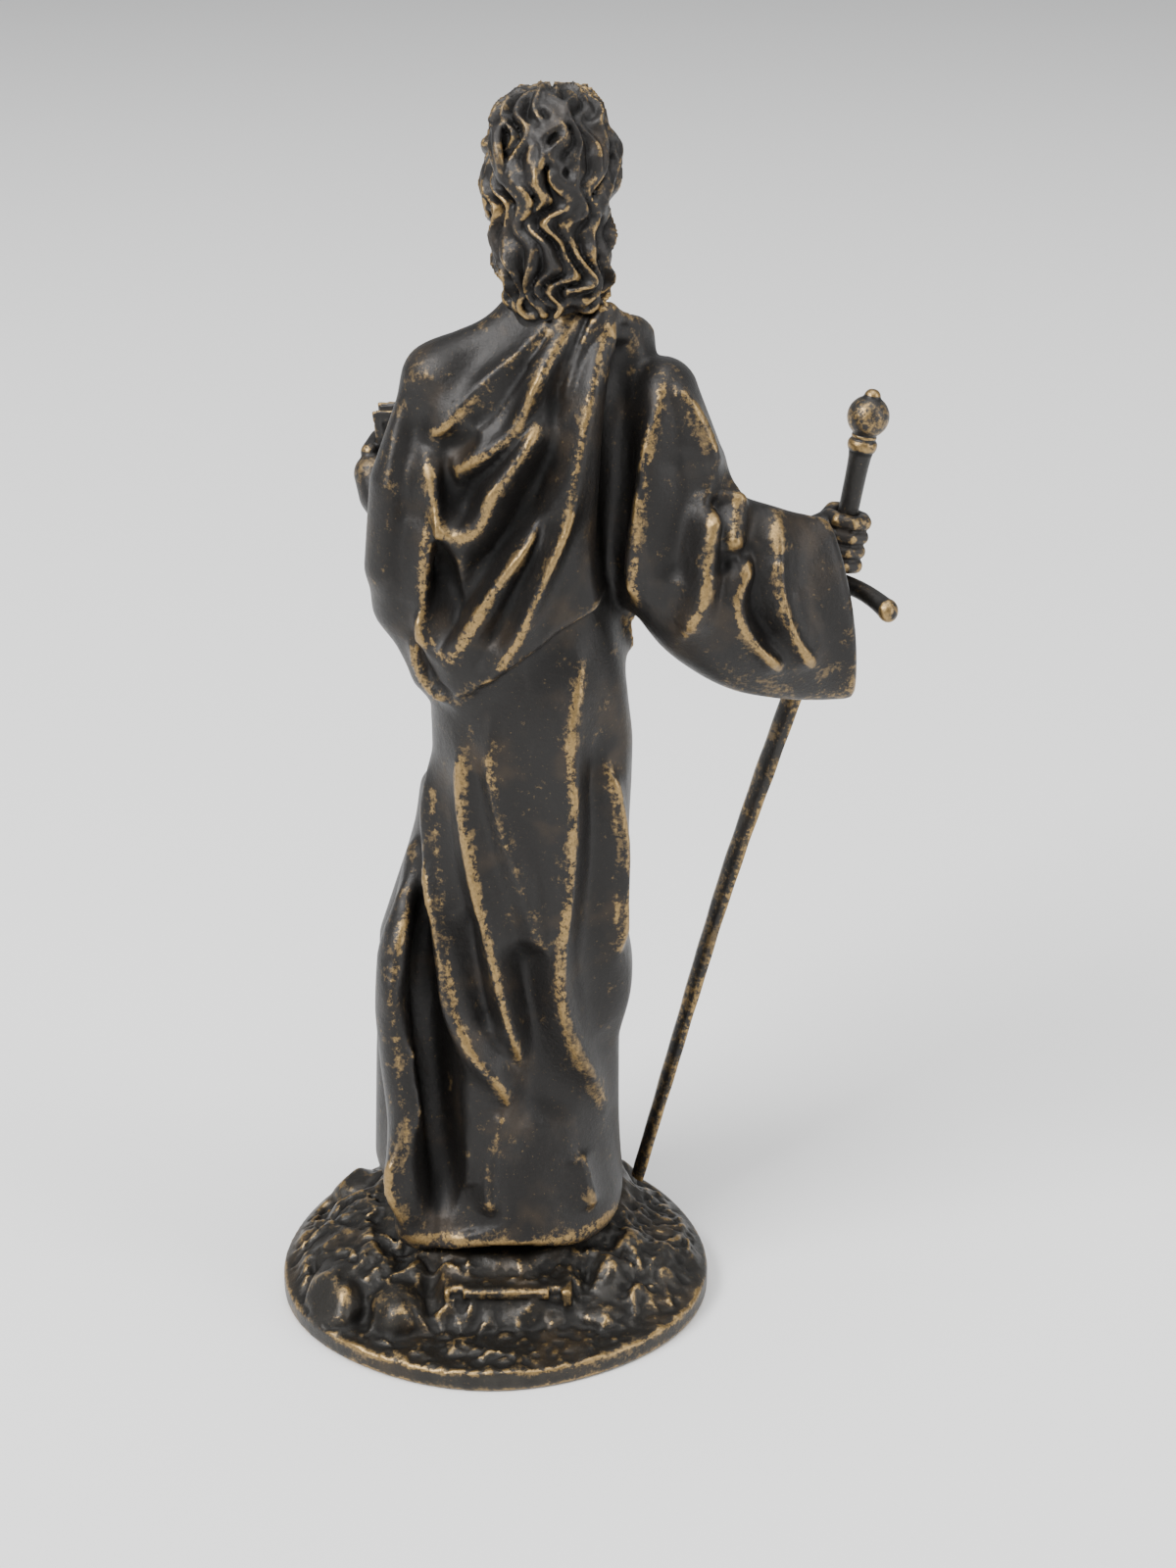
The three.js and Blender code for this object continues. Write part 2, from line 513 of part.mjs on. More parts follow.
for (let i = 0; i < FINGERS; i++) {
  const along = lerp(-4.6, 4.6, i / (FINGERS - 1)) * figureScale;
  const radius = GRIP_DIAMETER / 2 + FINGER_RADIUS * 0.9;
  const nodes = [-2.4, -1.5, -0.5, 0.6, 1.7].map((angle) => [...aroundGrip(angle, radius, along), FINGER_RADIUS]);
  rightHandForms.push(limb(nodes));
}
rightHandForms.push(egg(aroundGrip(-2.3, 3.2, 0), [4.6, 4.2, 6]));
rightHandForms.push(limb([[-56, 0, 175, 5], [...aroundGrip(-2.4, 6, 0), 4.4]]));
const rightHandForm = (x, y, z) => rightHandForms.reduce((d, form) => join(d, form(x, y, z), 1), 99);

const BOOK_PLACE = { centre: [16.4, -21.5, 189], tilt: [-0.16, 0.1, -0.2] };
const leftHandForms = [
  egg([23.4, -23.6, 186], [4, 3.6, 6.5]),
  limb([[20, -14, 177, 5.4], [24.5, -17.5, 182, 5.2], [26, -19.5, 186, 4.8]]),
  limb([[27, -20.5, 189, 2.5], [25.6, -24.4, 191, 2], [21.5, -27, 191.5, 1.7]]),
  limb([[27.4, -20.5, 185, 2.5], [26, -25, 186.5, 2], [21.5, -27.4, 186.7, 1.7]]),
  limb([[26.6, -20.5, 181.2, 2.5], [25.4, -25, 182, 2], [21, -27.4, 182, 1.7]]),
];
const leftHandForm = (x, y, z) => leftHandForms.reduce((d, form) => join(d, form(x, y, z), 0.8), 99);

// Turns clay into a closed skin: one vertex in each grid cell that the surface crosses, one quad for each grid
// edge that it crosses.
const ruler = (...stretches) => {
  const lines = [];
  for (const [from, to, step] of stretches) {
    const count = Math.max(1, Math.round((to - from) / step));
    for (let i = lines.length ? 1 : 0; i <= count; i++) lines.push(lerp(from, to, i / count));
  }
  return lines;
};

// Where two bits of clay meet corner to corner across a grid square, the empty corner nearest the surface fills
// up, so that the skin never touches itself along an edge.
const PROBE = 0.05;
const PULLS = 12;
const keepSkinsApart = (values, nx, ny, nz, index) => {
  const squares = [[index(1, 0, 0), index(0, 1, 0)], [index(0, 1, 0), index(0, 0, 1)], [index(1, 0, 0), index(0, 0, 1)]];
  for (let round = 0, mended = 1; mended && round < 20; round++) {
    mended = 0;
    for (let k = 0; k < nz - 1; k++)
      for (let j = 0; j < ny - 1; j++)
        for (let i = 0; i < nx - 1; i++)
          for (const [u, v] of squares) {
            const at = index(i, j, k);
            const square = [at, at + u, at + v, at + u + v];
            const [a, b, c, d] = square.map((n) => values[n] < 0);
            if (a !== d || b !== c || a === b) continue;
            const empty = square.filter((n) => values[n] >= 0);
            values[values[empty[0]] < values[empty[1]] ? empty[0] : empty[1]] = -0.2;
            mended++;
          }
  }
};

const sculpt = (form, xs, ys, zs) => {
  const [nx, ny, nz] = [xs.length, ys.length, zs.length];
  const index = (i, j, k) => (k * ny + j) * nx + i;
  const values = new Float64Array(nx * ny * nz);
  for (let k = 0; k < nz; k++)
    for (let j = 0; j < ny; j++)
      for (let i = 0; i < nx; i++) {
        const border = i === 0 || j === 0 || k === 0 || i === nx - 1 || j === ny - 1 || k === nz - 1;
        values[index(i, j, k)] = border ? 99 : form(xs[i], ys[j], zs[k]);
      }
  keepSkinsApart(values, nx, ny, nz, index);
  const vertices = [];
  const vertexOf = new Map();
  const corners = [0, 1, 2, 3, 4, 5, 6, 7].map((n) => [n & 1, (n >> 1) & 1, n >> 2]);
  const edges = [];
  corners.forEach((a, m) =>
    corners.forEach((b, n) => {
      if (m < n && Math.abs(a[0] - b[0]) + Math.abs(a[1] - b[1]) + Math.abs(a[2] - b[2]) === 1) edges.push([a, b]);
    }),
  );
  const crossingOf = new Map();
  const crossingOn = (m, n, from, to) => {
    const key = m * values.length + n;
    if (crossingOf.has(key)) return crossingOf.get(key);
    const t = values[m] / (values[m] - values[n]);
    const at = from.map((value, axis) => lerp(value, to[axis], t));
    const here = form(...at);
    const slope = new THREE.Vector3(
      form(at[0] + PROBE, at[1], at[2]) - here,
      form(at[0], at[1] + PROBE, at[2]) - here,
      form(at[0], at[1], at[2] + PROBE) - here,
    ).normalize();
    crossingOf.set(key, { at: new THREE.Vector3(...at), slope });
    return crossingOf.get(key);
  };
  const cellVertex = (i, j, k) => {
    const key = index(i, j, k);
    if (vertexOf.has(key)) return vertexOf.get(key);
    const node = (c) => [xs[i + c[0]], ys[j + c[1]], zs[k + c[2]]];
    const found = [];
    for (const [a, b] of edges) {
      const [m, n] = [index(i + a[0], j + a[1], k + a[2]), index(i + b[0], j + b[1], k + b[2])];
      if (values[m] < 0 !== values[n] < 0) found.push(crossingOn(m, n, node(a), node(b)));
    }
    const vertex = new THREE.Vector3();
    for (const { at } of found) vertex.addScaledVector(at, 1 / found.length);
    // Draws the vertex towards the planes of the surface around it, so that crests and edges stay crisp.
    for (let pull = 0; pull < PULLS; pull++) {
      const step = new THREE.Vector3();
      for (const { at, slope } of found) step.addScaledVector(slope, slope.dot(at.clone().sub(vertex)) / found.length);
      vertex.addScaledVector(step, 1.2);
    }
    const [low, high] = [new THREE.Vector3(...node([0, 0, 0])), new THREE.Vector3(...node([1, 1, 1]))];
    const margin = high.clone().sub(low).multiplyScalar(0.06);
    vertex.clamp(low.add(margin), high.sub(margin));
    vertices.push(vertex.x, vertex.y, vertex.z);
    vertexOf.set(key, vertices.length / 3 - 1);
    return vertexOf.get(key);
  };
  const triangles = [];
  const distance = (m, n) =>
    Math.hypot(...[0, 1, 2].map((axis) => vertices[3 * m + axis] - vertices[3 * n + axis]));
  const diagonals = new Set();
  const diagonal = (m, n) => Math.min(m, n) * values.length + Math.max(m, n);
  const quad = (a, b, c, d) => {
    const short = distance(a, c) < distance(b, d) ? !diagonals.has(diagonal(a, c)) : diagonals.has(diagonal(b, d));
    diagonals.add(short ? diagonal(a, c) : diagonal(b, d));
    if (short) triangles.push(a, b, c, a, c, d);
    else triangles.push(a, b, d, b, c, d);
  };
  for (let k = 0; k < nz - 1; k++)
    for (let j = 0; j < ny - 1; j++)
      for (let i = 0; i < nx - 1; i++) {
        const here = values[index(i, j, k)] < 0;
        const cell = (di, dj, dk) => cellVertex(i - di, j - dj, k - dk);
        if (here !== values[index(i + 1, j, k)] < 0) {
          const ring = [cell(0, 1, 1), cell(0, 0, 1), cell(0, 0, 0), cell(0, 1, 0)];
          quad(...(here ? ring : ring.reverse()));
        }
        if (here !== values[index(i, j + 1, k)] < 0) {
          const ring = [cell(1, 0, 1), cell(1, 0, 0), cell(0, 0, 0), cell(0, 0, 1)];
          quad(...(here ? ring : ring.reverse()));
        }
        if (here !== values[index(i, j, k + 1)] < 0) {
          const ring = [cell(1, 1, 0), cell(0, 1, 0), cell(0, 0, 0), cell(1, 0, 0)];
          quad(...(here ? ring : ring.reverse()));
        }
      }
  const geometry = new THREE.BufferGeometry();
  geometry.setAttribute("position", new THREE.Float32BufferAttribute(vertices, 3));
  geometry.setIndex(triangles);
  return geometry;
};

// Solids for joining and cutting, and back again.
const solidOf = (geometry) => {
  const bare = geometry.clone();
  for (const name of Object.keys(bare.attributes)) if (name !== "position") bare.deleteAttribute(name);
  const merged = mergeVertices(bare, 1e-4);
  return new wasm.Manifold(
    new wasm.Mesh({
      numProp: 3,
      vertProperties: new Float32Array(merged.attributes.position.array),
      triVerts: new Uint32Array(merged.index.array),
    }),
  );
};
const geometryOf = (solid) => {
  const mesh = solid.getMesh();
  const geometry = new THREE.BufferGeometry();
  geometry.setAttribute("position", new THREE.BufferAttribute(mesh.vertProperties, 3));
  geometry.setIndex(new THREE.BufferAttribute(mesh.triVerts, 1));
  geometry.computeVertexNormals();
  return geometry;
};
const placed = (geometry, position, rotation = new THREE.Quaternion()) =>
  geometry.applyMatrix4(new THREE.Matrix4().compose(position, rotation, new THREE.Vector3(1, 1, 1)));
const fromLayout = (geometry) =>
  geometry
    .translate(-LAYOUT_CENTRE[0], -LAYOUT_CENTRE[1], -LAYOUT_GROUND)
    .scale(figureScale, figureScale, figureScale)
    .translate(0, 0, GROUND_HEIGHT);
const turning = (from, to) => new THREE.Quaternion().setFromUnitVectors(from, to);
const UP = new THREE.Vector3(0, 0, 1);

// A round shaft along a line, from radius and height pairs.
const turned = (profile, position, line, sides = 20) => {
  const points = profile.map(([radius, height]) => new THREE.Vector2(radius, height));
  const shaft = new THREE.LatheGeometry(points, sides).rotateX(Math.PI / 2);
  return placed(shaft, position, turning(UP, line));
};

// Makes the sword: blade, guard, grip and pommel in one piece.
const GRIP_SINK = 1.2;
const gripProfile = () => {
  const [r, p] = [GRIP_DIAMETER / 2, POMMEL_DIAMETER / 2];
  const neck = GRIP_LENGTH;
  const ball = neck + 3.2;
  const ballPoints = [];
  for (let i = 0; i <= 8; i++) {
    const angle = lerp(-0.98, 1.15, i / 8);
    ballPoints.push([p * Math.cos(angle), ball + p * 0.84 + p * Math.sin(angle)]);
  }
  const top = ballPoints[ballPoints.length - 1][1];
  return [
    [0, -GRIP_SINK],
    [r, -GRIP_SINK],
    [r * 0.94, neck * 0.5],
    [r, neck - 1],
    [r * 1.35, neck],
    [r * 1.4, neck + 1.4],
    [r * 1.1, neck + 2.2],
    [r * 1.2, neck + 2.8],
    ...ballPoints,
    [p * 0.36, top + 1],
    [p * 0.2, top + 1.7],
    [0, top + 1.8],
  ];
};

const bladeGeometry = () => {
  const length = guardCentre.distanceTo(swordTip);
  const section = new THREE.Shape([
    new THREE.Vector2(-0.5, 0),
    new THREE.Vector2(-0.22, -0.5),
    new THREE.Vector2(0.22, -0.5),
    new THREE.Vector2(0.5, 0),
    new THREE.Vector2(0.22, 0.5),
    new THREE.Vector2(-0.22, 0.5),
  ]);
  const blade = new THREE.ExtrudeGeometry(section, { depth: length, steps: 8, bevelEnabled: false });
  const position = blade.attributes.position;
  for (let i = 0; i < position.count; i++) {
    const t = position.getZ(i) / length;
    const wave = (BLADE_BOW + 0.25 * Math.sin(t * 9)) * Math.sin(Math.PI * t);
    position.setX(i, position.getX(i) * lerp(BLADE_TIP_WIDTH, BLADE_WIDTH, t) + wave);
    position.setY(i, position.getY(i) * lerp(BLADE_THICKNESS * 0.75, BLADE_THICKNESS, t));
  }
  const across = new THREE.Vector3().crossVectors(bladeLine, guardLine).normalize();
  const basis = new THREE.Matrix4().makeBasis(guardLine, across, bladeLine).setPosition(swordTip);
  return blade.applyMatrix4(basis);
};

const guardProfile = (side) => {
  const r = GUARD_THICKNESS / 2;
  const end = GUARD_SPAN / 2;
  return [
    [0, -1],
    [r * 1.05, -1],
    [r * 0.82, end * 0.35],
    [r * 0.9, end - r * 1.6],
    [r * 1.12, end - r * 0.9],
    [r * 0.8, end - r * 0.25],
    [0, end],
  ].map(([radius, height]) => [radius, side * height]);
};

const makeSword = (inflate = 0) => {
  const swell = ([radius, height]) => [radius > 0 ? radius + inflate : 0, height];
  const grip = gripProfile().map(swell);
  return [
    bladeGeometry(),
    turned(guardProfile(1).map(swell), guardCentre, guardLine, 9),
    turned(guardProfile(1).map(swell), guardCentre, guardLine.clone().negate(), 9),
    turned(grip, guardCentre, gripLine, 12),
  ];
};

const joined = (geometries) => geometries.map(solidOf).reduce((a, b) => a.add(b));

// Makes the figure: body, head, hands and book, with a bore through the fist for the grip.
const bookGeometry = () => {
  const [w, h, round] = [BOOK_WIDTH / 2, BOOK_HEIGHT / 2, 0.8];
  const cover = new THREE.Shape([
    new THREE.Vector2(-w + round, -h),
    new THREE.Vector2(w, -h),
    new THREE.Vector2(w, h),
    new THREE.Vector2(-w + round, h),
    new THREE.Vector2(-w, h - round),
    new THREE.Vector2(-w, -h + round),
  ]);
  const book = new THREE.ExtrudeGeometry(cover, { depth: BOOK_THICKNESS, bevelEnabled: false });
  book.translate(0, 0, -BOOK_THICKNESS / 2).rotateX(Math.PI / 2);
  const tilt = new THREE.Quaternion().setFromEuler(new THREE.Euler(...BOOK_PLACE.tilt));
  return placed(book, place(...BOOK_PLACE.centre), tilt);
};

// The hollow of the sleeve's mouth: the sleeve's own sections, less the wall.
const sleeveHollowGeometry = () => {
  const [sides, deep, out] = [14, 61, 86];
  const section = through(SLEEVE);
  const tube = new THREE.CylinderGeometry(1, 1, 1, sides, 5).rotateX(Math.PI / 2);
  const position = tube.attributes.position;
  for (let i = 0; i < position.count; i++) {
    const along = lerp(deep, out, position.getZ(i) + 0.5);
    const [cy, cz, ry, rz] = section(Math.min(along, 72));
    const open = lerp(0.55, 1, THREE.MathUtils.smoothstep(along, deep, deep + 8));
    const y = cy - position.getX(i) * (ry - SLEEVE_WALL) * open;
    const z = cz - 1.5 + position.getY(i) * (rz - SLEEVE_WALL - 2) * open;
    position.setXYZ(i, -along, y, z);
  }
  return fromLayout(tube);
};

const boreGeometry = (radius, from, to, line) =>
  turned([[0, from], [radius, from], [radius, to], [0, to]], guardCentre, line, 16);

const makeFigure = () => {
  const bodyGrid = [
    ruler([-84, -36, 4.4], [-36, 34, 3.3]),
    ruler([-34, -10, 4.4], [-10, 32, 3.6]),
    ruler([10, 22, 6], [22, 148, 11.5], [148, 226, 6.2], [226, 236, 5]),
  ];
  const headGrid = [ruler([-31.5, 7, 2.55]), ruler([-23, 20, 2.55]), ruler([214, 274, 2.6])];
  const handGrid = [ruler([-84, -52, 2.4]), ruler([-24, 6, 2.4]), ruler([160, 186, 2.4])];
  const feetGrid = [ruler([-26, 30, 3.2]), ruler([-44, -4, 3.6]), ruler([12, 28, 3])];
  const leftGrid = [ruler([12, 36, 2.3]), ruler([-32, -6, 2.3]), ruler([170, 196, 2.3])];
  const body = solidOf(fromLayout(sculpt(clothedBody, ...bodyGrid))).subtract(solidOf(sleeveHollowGeometry()));
  const head = solidOf(fromLayout(sculpt(headForm, ...headGrid)));
  const rightHand = solidOf(fromLayout(sculpt(rightHandForm, ...handGrid)));
  const barefoot = solidOf(fromLayout(sculpt(feetForm, ...feetGrid)));
  const leftHand = solidOf(fromLayout(sculpt(leftHandForm, ...leftGrid)));
  const sole = new THREE.BoxGeometry(BASE_DIAMETER * 2, BASE_DIAMETER * 2, GROUND_HEIGHT);
  sole.translate(0, 0, GROUND_HEIGHT / 2);
  const bore = boreGeometry(GRIP_DIAMETER / 2 + BORE_CLEARANCE, -GRIP_SINK, GRIP_LENGTH - 1, gripLine);
  return body
    .add(head)
    .add(rightHand)
    .add(leftHand)
    .add(barefoot)
    .add(solidOf(bookGeometry()))
    .subtract(solidOf(sole))
    .subtract(solidOf(bore))
    .subtract(joined(makeSword(BORE_CLEARANCE)));
};

// The base: a turned disc whose top is rough ground, with boulders and a squared block behind the figure.
const RADIUS = BASE_DIAMETER / 2;
const outlineWobble = (angle) => 1 + 0.012 * Math.cos(2 * angle + 0.6) + 0.01 * Math.cos(3 * angle - 1.9) + 0.008 * Math.sin(5 * angle);
const roughness = (x, y) =>
  0.5 * Math.sin(x * 0.55 + 1.3 * Math.sin(y * 0.31)) * Math.sin(y * 0.47 + 0.9 * Math.sin(x * 0.29)) +
  0.3 * Math.sin(x * 1.13 + y * 0.71) * Math.sin(y * 1.21 - x * 0.37);
const standingShare = (x, y) => {
  const reach = Math.hypot((x + 2) / 27.5, (y + 13.5) / 32);
  return 1 - THREE.MathUtils.smoothstep(reach, 0.98, 1.16);
};
const groundAt = (x, y) => {
  const share = Math.hypot(x, y) / RADIUS;
  const crown = lerp(GROUND_HEIGHT - 3, RIM_HEIGHT + 0.6, THREE.MathUtils.smoothstep(share, 0.6, 0.99));
  const back = y > 0 ? 4 * THREE.MathUtils.smoothstep(y / RADIUS, 0.3, 0.65) : 0;
  const rough = clamp(crown - back + 2.4 * roughness(x, y), RIM_HEIGHT + 0.2, GROUND_HEIGHT - 1);
  return lerp(rough, GROUND_HEIGHT, standingShare(x, y));
};

const discGeometry = () => {
  const rings = 11;
  const profile = [new THREE.Vector2(0, 0), new THREE.Vector2(RADIUS - 0.8, 0), new THREE.Vector2(RADIUS, 0.8), new THREE.Vector2(RADIUS, RIM_HEIGHT)];
  for (let i = 1; i < rings; i++) profile.push(new THREE.Vector2(RADIUS * 0.975 * Math.sqrt(1 - i / rings), RIM_HEIGHT + 1));
  profile.push(new THREE.Vector2(0, RIM_HEIGHT + 1));
  const disc = new THREE.LatheGeometry(profile, 36).rotateX(Math.PI / 2);
  const position = disc.attributes.position;
  for (let i = 0; i < position.count; i++) {
    let [x, y] = [position.getX(i), position.getY(i)];
    const wobble = outlineWobble(Math.atan2(y, x));
    [x, y] = [x * wobble, y * wobble];
    const onTop = position.getZ(i) > RIM_HEIGHT + 0.5;
    position.setXYZ(i, x, y, onTop ? groundAt(x, y) : position.getZ(i));
  }
  return disc;
};

const boulderGeometry = (at, size, seed) => {
  const boulder = new THREE.IcosahedronGeometry(1, 1);
  const position = boulder.attributes.position;
  for (let i = 0; i < position.count; i++) {
    const [x, y, z] = [position.getX(i), position.getY(i), position.getZ(i)];
    const bump = 1 + 0.1 * Math.sin(4 * x + seed) * Math.sin(4 * y + 2 * seed) + 0.07 * Math.sin(6 * z + 3 * seed);
    position.setXYZ(i, x * bump * size[0], y * bump * size[1], z * bump * size[2]);
  }
  return boulder.translate(...at);
};

const share = (value) => value * RADIUS;
const BOULDERS = [
  { at: [0.74, 0.44, 6.6], size: [7.6, 11.5, 6.6], seed: 1 },
  { at: [0.43, 0.56, 6.6], size: [6, 7.6, 6], seed: 2 },
  { at: [0.64, 0.12, 8], size: [11, 12, 5.4], seed: 3 },
  { at: [-0.66, 0.16, 7.5], size: [8, 9, 4], seed: 4 },
  { at: [-0.5, 0.52, 6], size: [6, 6, 3], seed: 5 },
  { at: [0.66, -0.42, 8.5], size: [8, 7, 5.4], seed: 6 },
  { at: [-0.56, -0.56, 8.5], size: [6.4, 6, 5.2], seed: 7 },
];

const blockGeometry = () => {
  const block = new THREE.BoxGeometry(BLOCK_WIDTH, BLOCK_DEPTH, BLOCK_HEIGHT - 1);
  return block.translate(share(-0.08), share(0.59) - BLOCK_DEPTH / 2, (BLOCK_HEIGHT + 1) / 2);
};
const panelGeometry = () => {
  const panel = new THREE.BoxGeometry(BLOCK_WIDTH * 0.72, PANEL_DEPTH * 2, BLOCK_HEIGHT * 0.26);
  return panel.translate(share(-0.08), share(0.59), BLOCK_HEIGHT * 0.78);
};

const makeBase = () => {
  const socketFoot = swordTip.clone().addScaledVector(bladeLine, -1);
  const socket = turned(
    [[0, -SOCKET_DEPTH], [BLADE_TIP_WIDTH, -SOCKET_DEPTH], [BLADE_TIP_WIDTH, 12], [0, 12]],
    socketFoot,
    bladeLine,
    10,
  );
  const stones = BOULDERS.map(({ at, size, seed }) => boulderGeometry([share(at[0]), share(at[1]), at[2]], size, seed));
  const above = new THREE.BoxGeometry(BASE_DIAMETER * 2, BASE_DIAMETER * 2, FIGURE_HEIGHT);
  above.translate(0, 0, GROUND_HEIGHT + FIGURE_HEIGHT / 2);
  const below = new THREE.BoxGeometry(BASE_DIAMETER * 2, BASE_DIAMETER * 2, GROUND_HEIGHT);
  below.translate(0, 0, -GROUND_HEIGHT / 2);
  return joined([discGeometry(), ...stones, blockGeometry()])
    .subtract(solidOf(panelGeometry()))
    .subtract(solidOf(above))
    .subtract(solidOf(below))
    .subtract(solidOf(socket));
};

const patina = new THREE.MeshStandardMaterial({ name: "dark_bronze", color: 0x2c2825, roughness: 0.42, metalness: 0.9 });
const swordPatina = new THREE.MeshStandardMaterial({ name: "sword_bronze", color: 0x2a2420, roughness: 0.35, metalness: 0.9 });

const statue = new THREE.Group();
const addPiece = (name, solid, material) => {
  const mesh = new THREE.Mesh(geometryOf(solid), material);
  mesh.name = name;
  statue.add(mesh);
};
addPiece("rocky_base", makeBase(), patina);
addPiece("saint_figure", makeFigure(), patina);
addPiece("sword", joined(makeSword()), swordPatina);

export default statue;
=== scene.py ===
# The dressed view of a small bronze saint: a bearded, robed man with a closed book on his left arm and his
# right hand on a long sword, on a round rocky base, seen from behind as in the photograph.
import math
from math import cos, pi, radians, sin
import bpy
import numpy as np
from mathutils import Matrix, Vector


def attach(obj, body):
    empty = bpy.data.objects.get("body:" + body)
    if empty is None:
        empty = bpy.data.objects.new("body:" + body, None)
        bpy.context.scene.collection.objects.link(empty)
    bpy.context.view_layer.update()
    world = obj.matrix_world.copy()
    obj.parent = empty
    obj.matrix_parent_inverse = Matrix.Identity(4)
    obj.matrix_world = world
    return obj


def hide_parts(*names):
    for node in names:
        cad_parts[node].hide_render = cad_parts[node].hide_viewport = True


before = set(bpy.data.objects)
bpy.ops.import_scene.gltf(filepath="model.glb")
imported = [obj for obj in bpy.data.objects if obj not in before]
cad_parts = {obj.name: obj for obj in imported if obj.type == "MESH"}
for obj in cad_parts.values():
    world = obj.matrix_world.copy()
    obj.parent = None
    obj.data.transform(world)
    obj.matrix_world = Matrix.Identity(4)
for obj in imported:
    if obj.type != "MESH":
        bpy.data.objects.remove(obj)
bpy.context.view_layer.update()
MM = 0.001

# The part's own sizes, in millimetres, as its solids have them.
BASE_DIAMETER = 97.0
RIM_HEIGHT = 4.6
GROUND_HEIGHT = 16.0
BLOCK_WIDTH = 29.0
BLOCK_DEPTH = 17.0
BLOCK_HEIGHT = 13.0
FIGURE_HEIGHT = 254.0
BOOK_SIZE = (17.0, 5.4, 24.0)
GRIP_DIAMETER = 4.6
GRIP_LENGTH = 29.5
POMMEL_DIAMETER = 9.0
GUARD_SPAN = 38.0
GUARD_THICKNESS = 4.2
BLADE_WIDTH = 6.4
BLADE_TIP_WIDTH = 3.8
BLADE_THICKNESS = 2.6
BLADE_BOW = -2.0

# How far the dressed guard bows.
GUARD_BOW = 1.2

# The figure is laid out for this height; its coordinates are shares of it.
LAYOUT_HEIGHT = 254.0
LAYOUT_GROUND = 16.0
LAYOUT_ORIGIN = np.array([2.0, 2.0, LAYOUT_GROUND])
FIGURE_ORIGIN = np.array([0, 0, GROUND_HEIGHT])
FIGURE_SCALE = FIGURE_HEIGHT / LAYOUT_HEIGHT


def from_layout(points):
    return (points - LAYOUT_ORIGIN) * FIGURE_SCALE + FIGURE_ORIGIN


def to_layout(points):
    return (points - FIGURE_ORIGIN) / FIGURE_SCALE + LAYOUT_ORIGIN


# Clay: a form gives a number for each point, negative inside and near a distance at the skin.
def join(a, b, k):
    h = np.maximum(k - np.abs(a - b), 0) / k
    return np.minimum(a, b) - h * h * k / 4


def trim(a, b, k):
    return -join(-a, -b, k)


def smoothstep(low, high, x):
    t = np.clip((x - low) / (high - low), 0, 1)
    return t * t * (3 - 2 * t)


def lattice(i, j):
    s = np.sin(i * 127.1 + j * 311.7) * 43758.5453
    return s - np.floor(s)


# Soft random hills from 0 to 1, one to each unit of length.
def hills(x, y):
    i, j = np.floor(x), np.floor(y)
    u, v = smoothstep(0, 1, x - i), smoothstep(0, 1, y - j)
    near_side = lattice(i, j) * (1 - u) + lattice(i + 1, j) * u
    far_side = lattice(i, j + 1) * (1 - u) + lattice(i + 1, j + 1) * u
    return near_side * (1 - v) + far_side * v


def egg(centre, radii):
    centre, radii = np.array(centre, float), np.array(radii, float)

    def form(p):
        q = (p - centre) / radii
        k0 = np.linalg.norm(q, axis=1)
        k1 = np.linalg.norm(q / radii, axis=1)
        return k0 * (k0 - 1) / np.maximum(k1, 1e-9)

    form.low, form.high = centre - radii, centre + radii
    return form


# For the stretch from a to b: the share of the way at its nearest point, and the squared distance to it.
def to_stretch(p, a, b):
    d = b - a
    t = np.clip((p - a) @ d / (d @ d), 0, 1)
    return t, ((p - a - t[:, None] * d) ** 2).sum(1)


# A chain of straight stretches through nodes of x, y, z and radius.
def limb(*nodes):
    nodes = np.array(nodes, float)

    def form(p):
        nearest = np.full(len(p), np.inf)
        for a, b in zip(nodes, nodes[1:]):
            t, off = to_stretch(p, a[:3], b[:3])
            nearest = np.minimum(nearest, np.sqrt(off) - (a[3] + t * (b[3] - a[3])))
        return nearest

    form.low = (nodes[:, :3] - nodes[:, 3:]).min(0)
    form.high = (nodes[:, :3] + nodes[:, 3:]).max(0)
    return form


# A smooth curve through rows of [t, value, value, ...].
def through(rows):
    rows = np.array(rows, float)
    t0, values = rows[:, 0], rows[:, 1:]
    slopes = np.empty_like(values)
    slopes[1:-1] = (values[2:] - values[:-2]) / (t0[2:] - t0[:-2])[:, None]
    slopes[0] = (values[1] - values[0]) / (t0[1] - t0[0])
    slopes[-1] = (values[-1] - values[-2]) / (t0[-1] - t0[-2])

    def curve(t):
        t = np.clip(t, t0[0], t0[-1])
        i = np.clip(np.searchsorted(t0, t, side="right") - 1, 0, len(t0) - 2)
        span = (t0[i + 1] - t0[i])[:, None]
        s = (t - t0[i])[:, None] / span
        s2, s3 = s * s, s * s * s
        start = (2 * s3 - 3 * s2 + 1) * values[i] + (s3 - 2 * s2 + s) * span * slopes[i]
        return start + (3 * s2 - 2 * s3) * values[i + 1] + (s3 - s2) * span * slopes[i + 1]

    return curve


# Oval sections strung along z, or along -x: rows of place, centre, centre, radius, radius.
def loft(axis, rows, inset=0.0):
    curve = through(rows)
    low, high = rows[0][0], rows[-1][0]

    def form(p):
        if axis == "z":
            t, u, v = p[:, 2], p[:, 0], p[:, 1]
        else:
            t, u, v = -p[:, 0], p[:, 1], p[:, 2]
        cu, cv, ru, rv = curve(t).T
        ru, rv = ru - inset, rv - inset
        u, v = (u - cu) / ru, (v - cv) / rv
        k0 = np.hypot(u, v)
        k1 = np.hypot(u / ru, v / rv)
        side = k0 * (k0 - 1) / np.maximum(k1, 1e-9)
        return trim(side, np.maximum(low - t, t - high), 2)

    return form


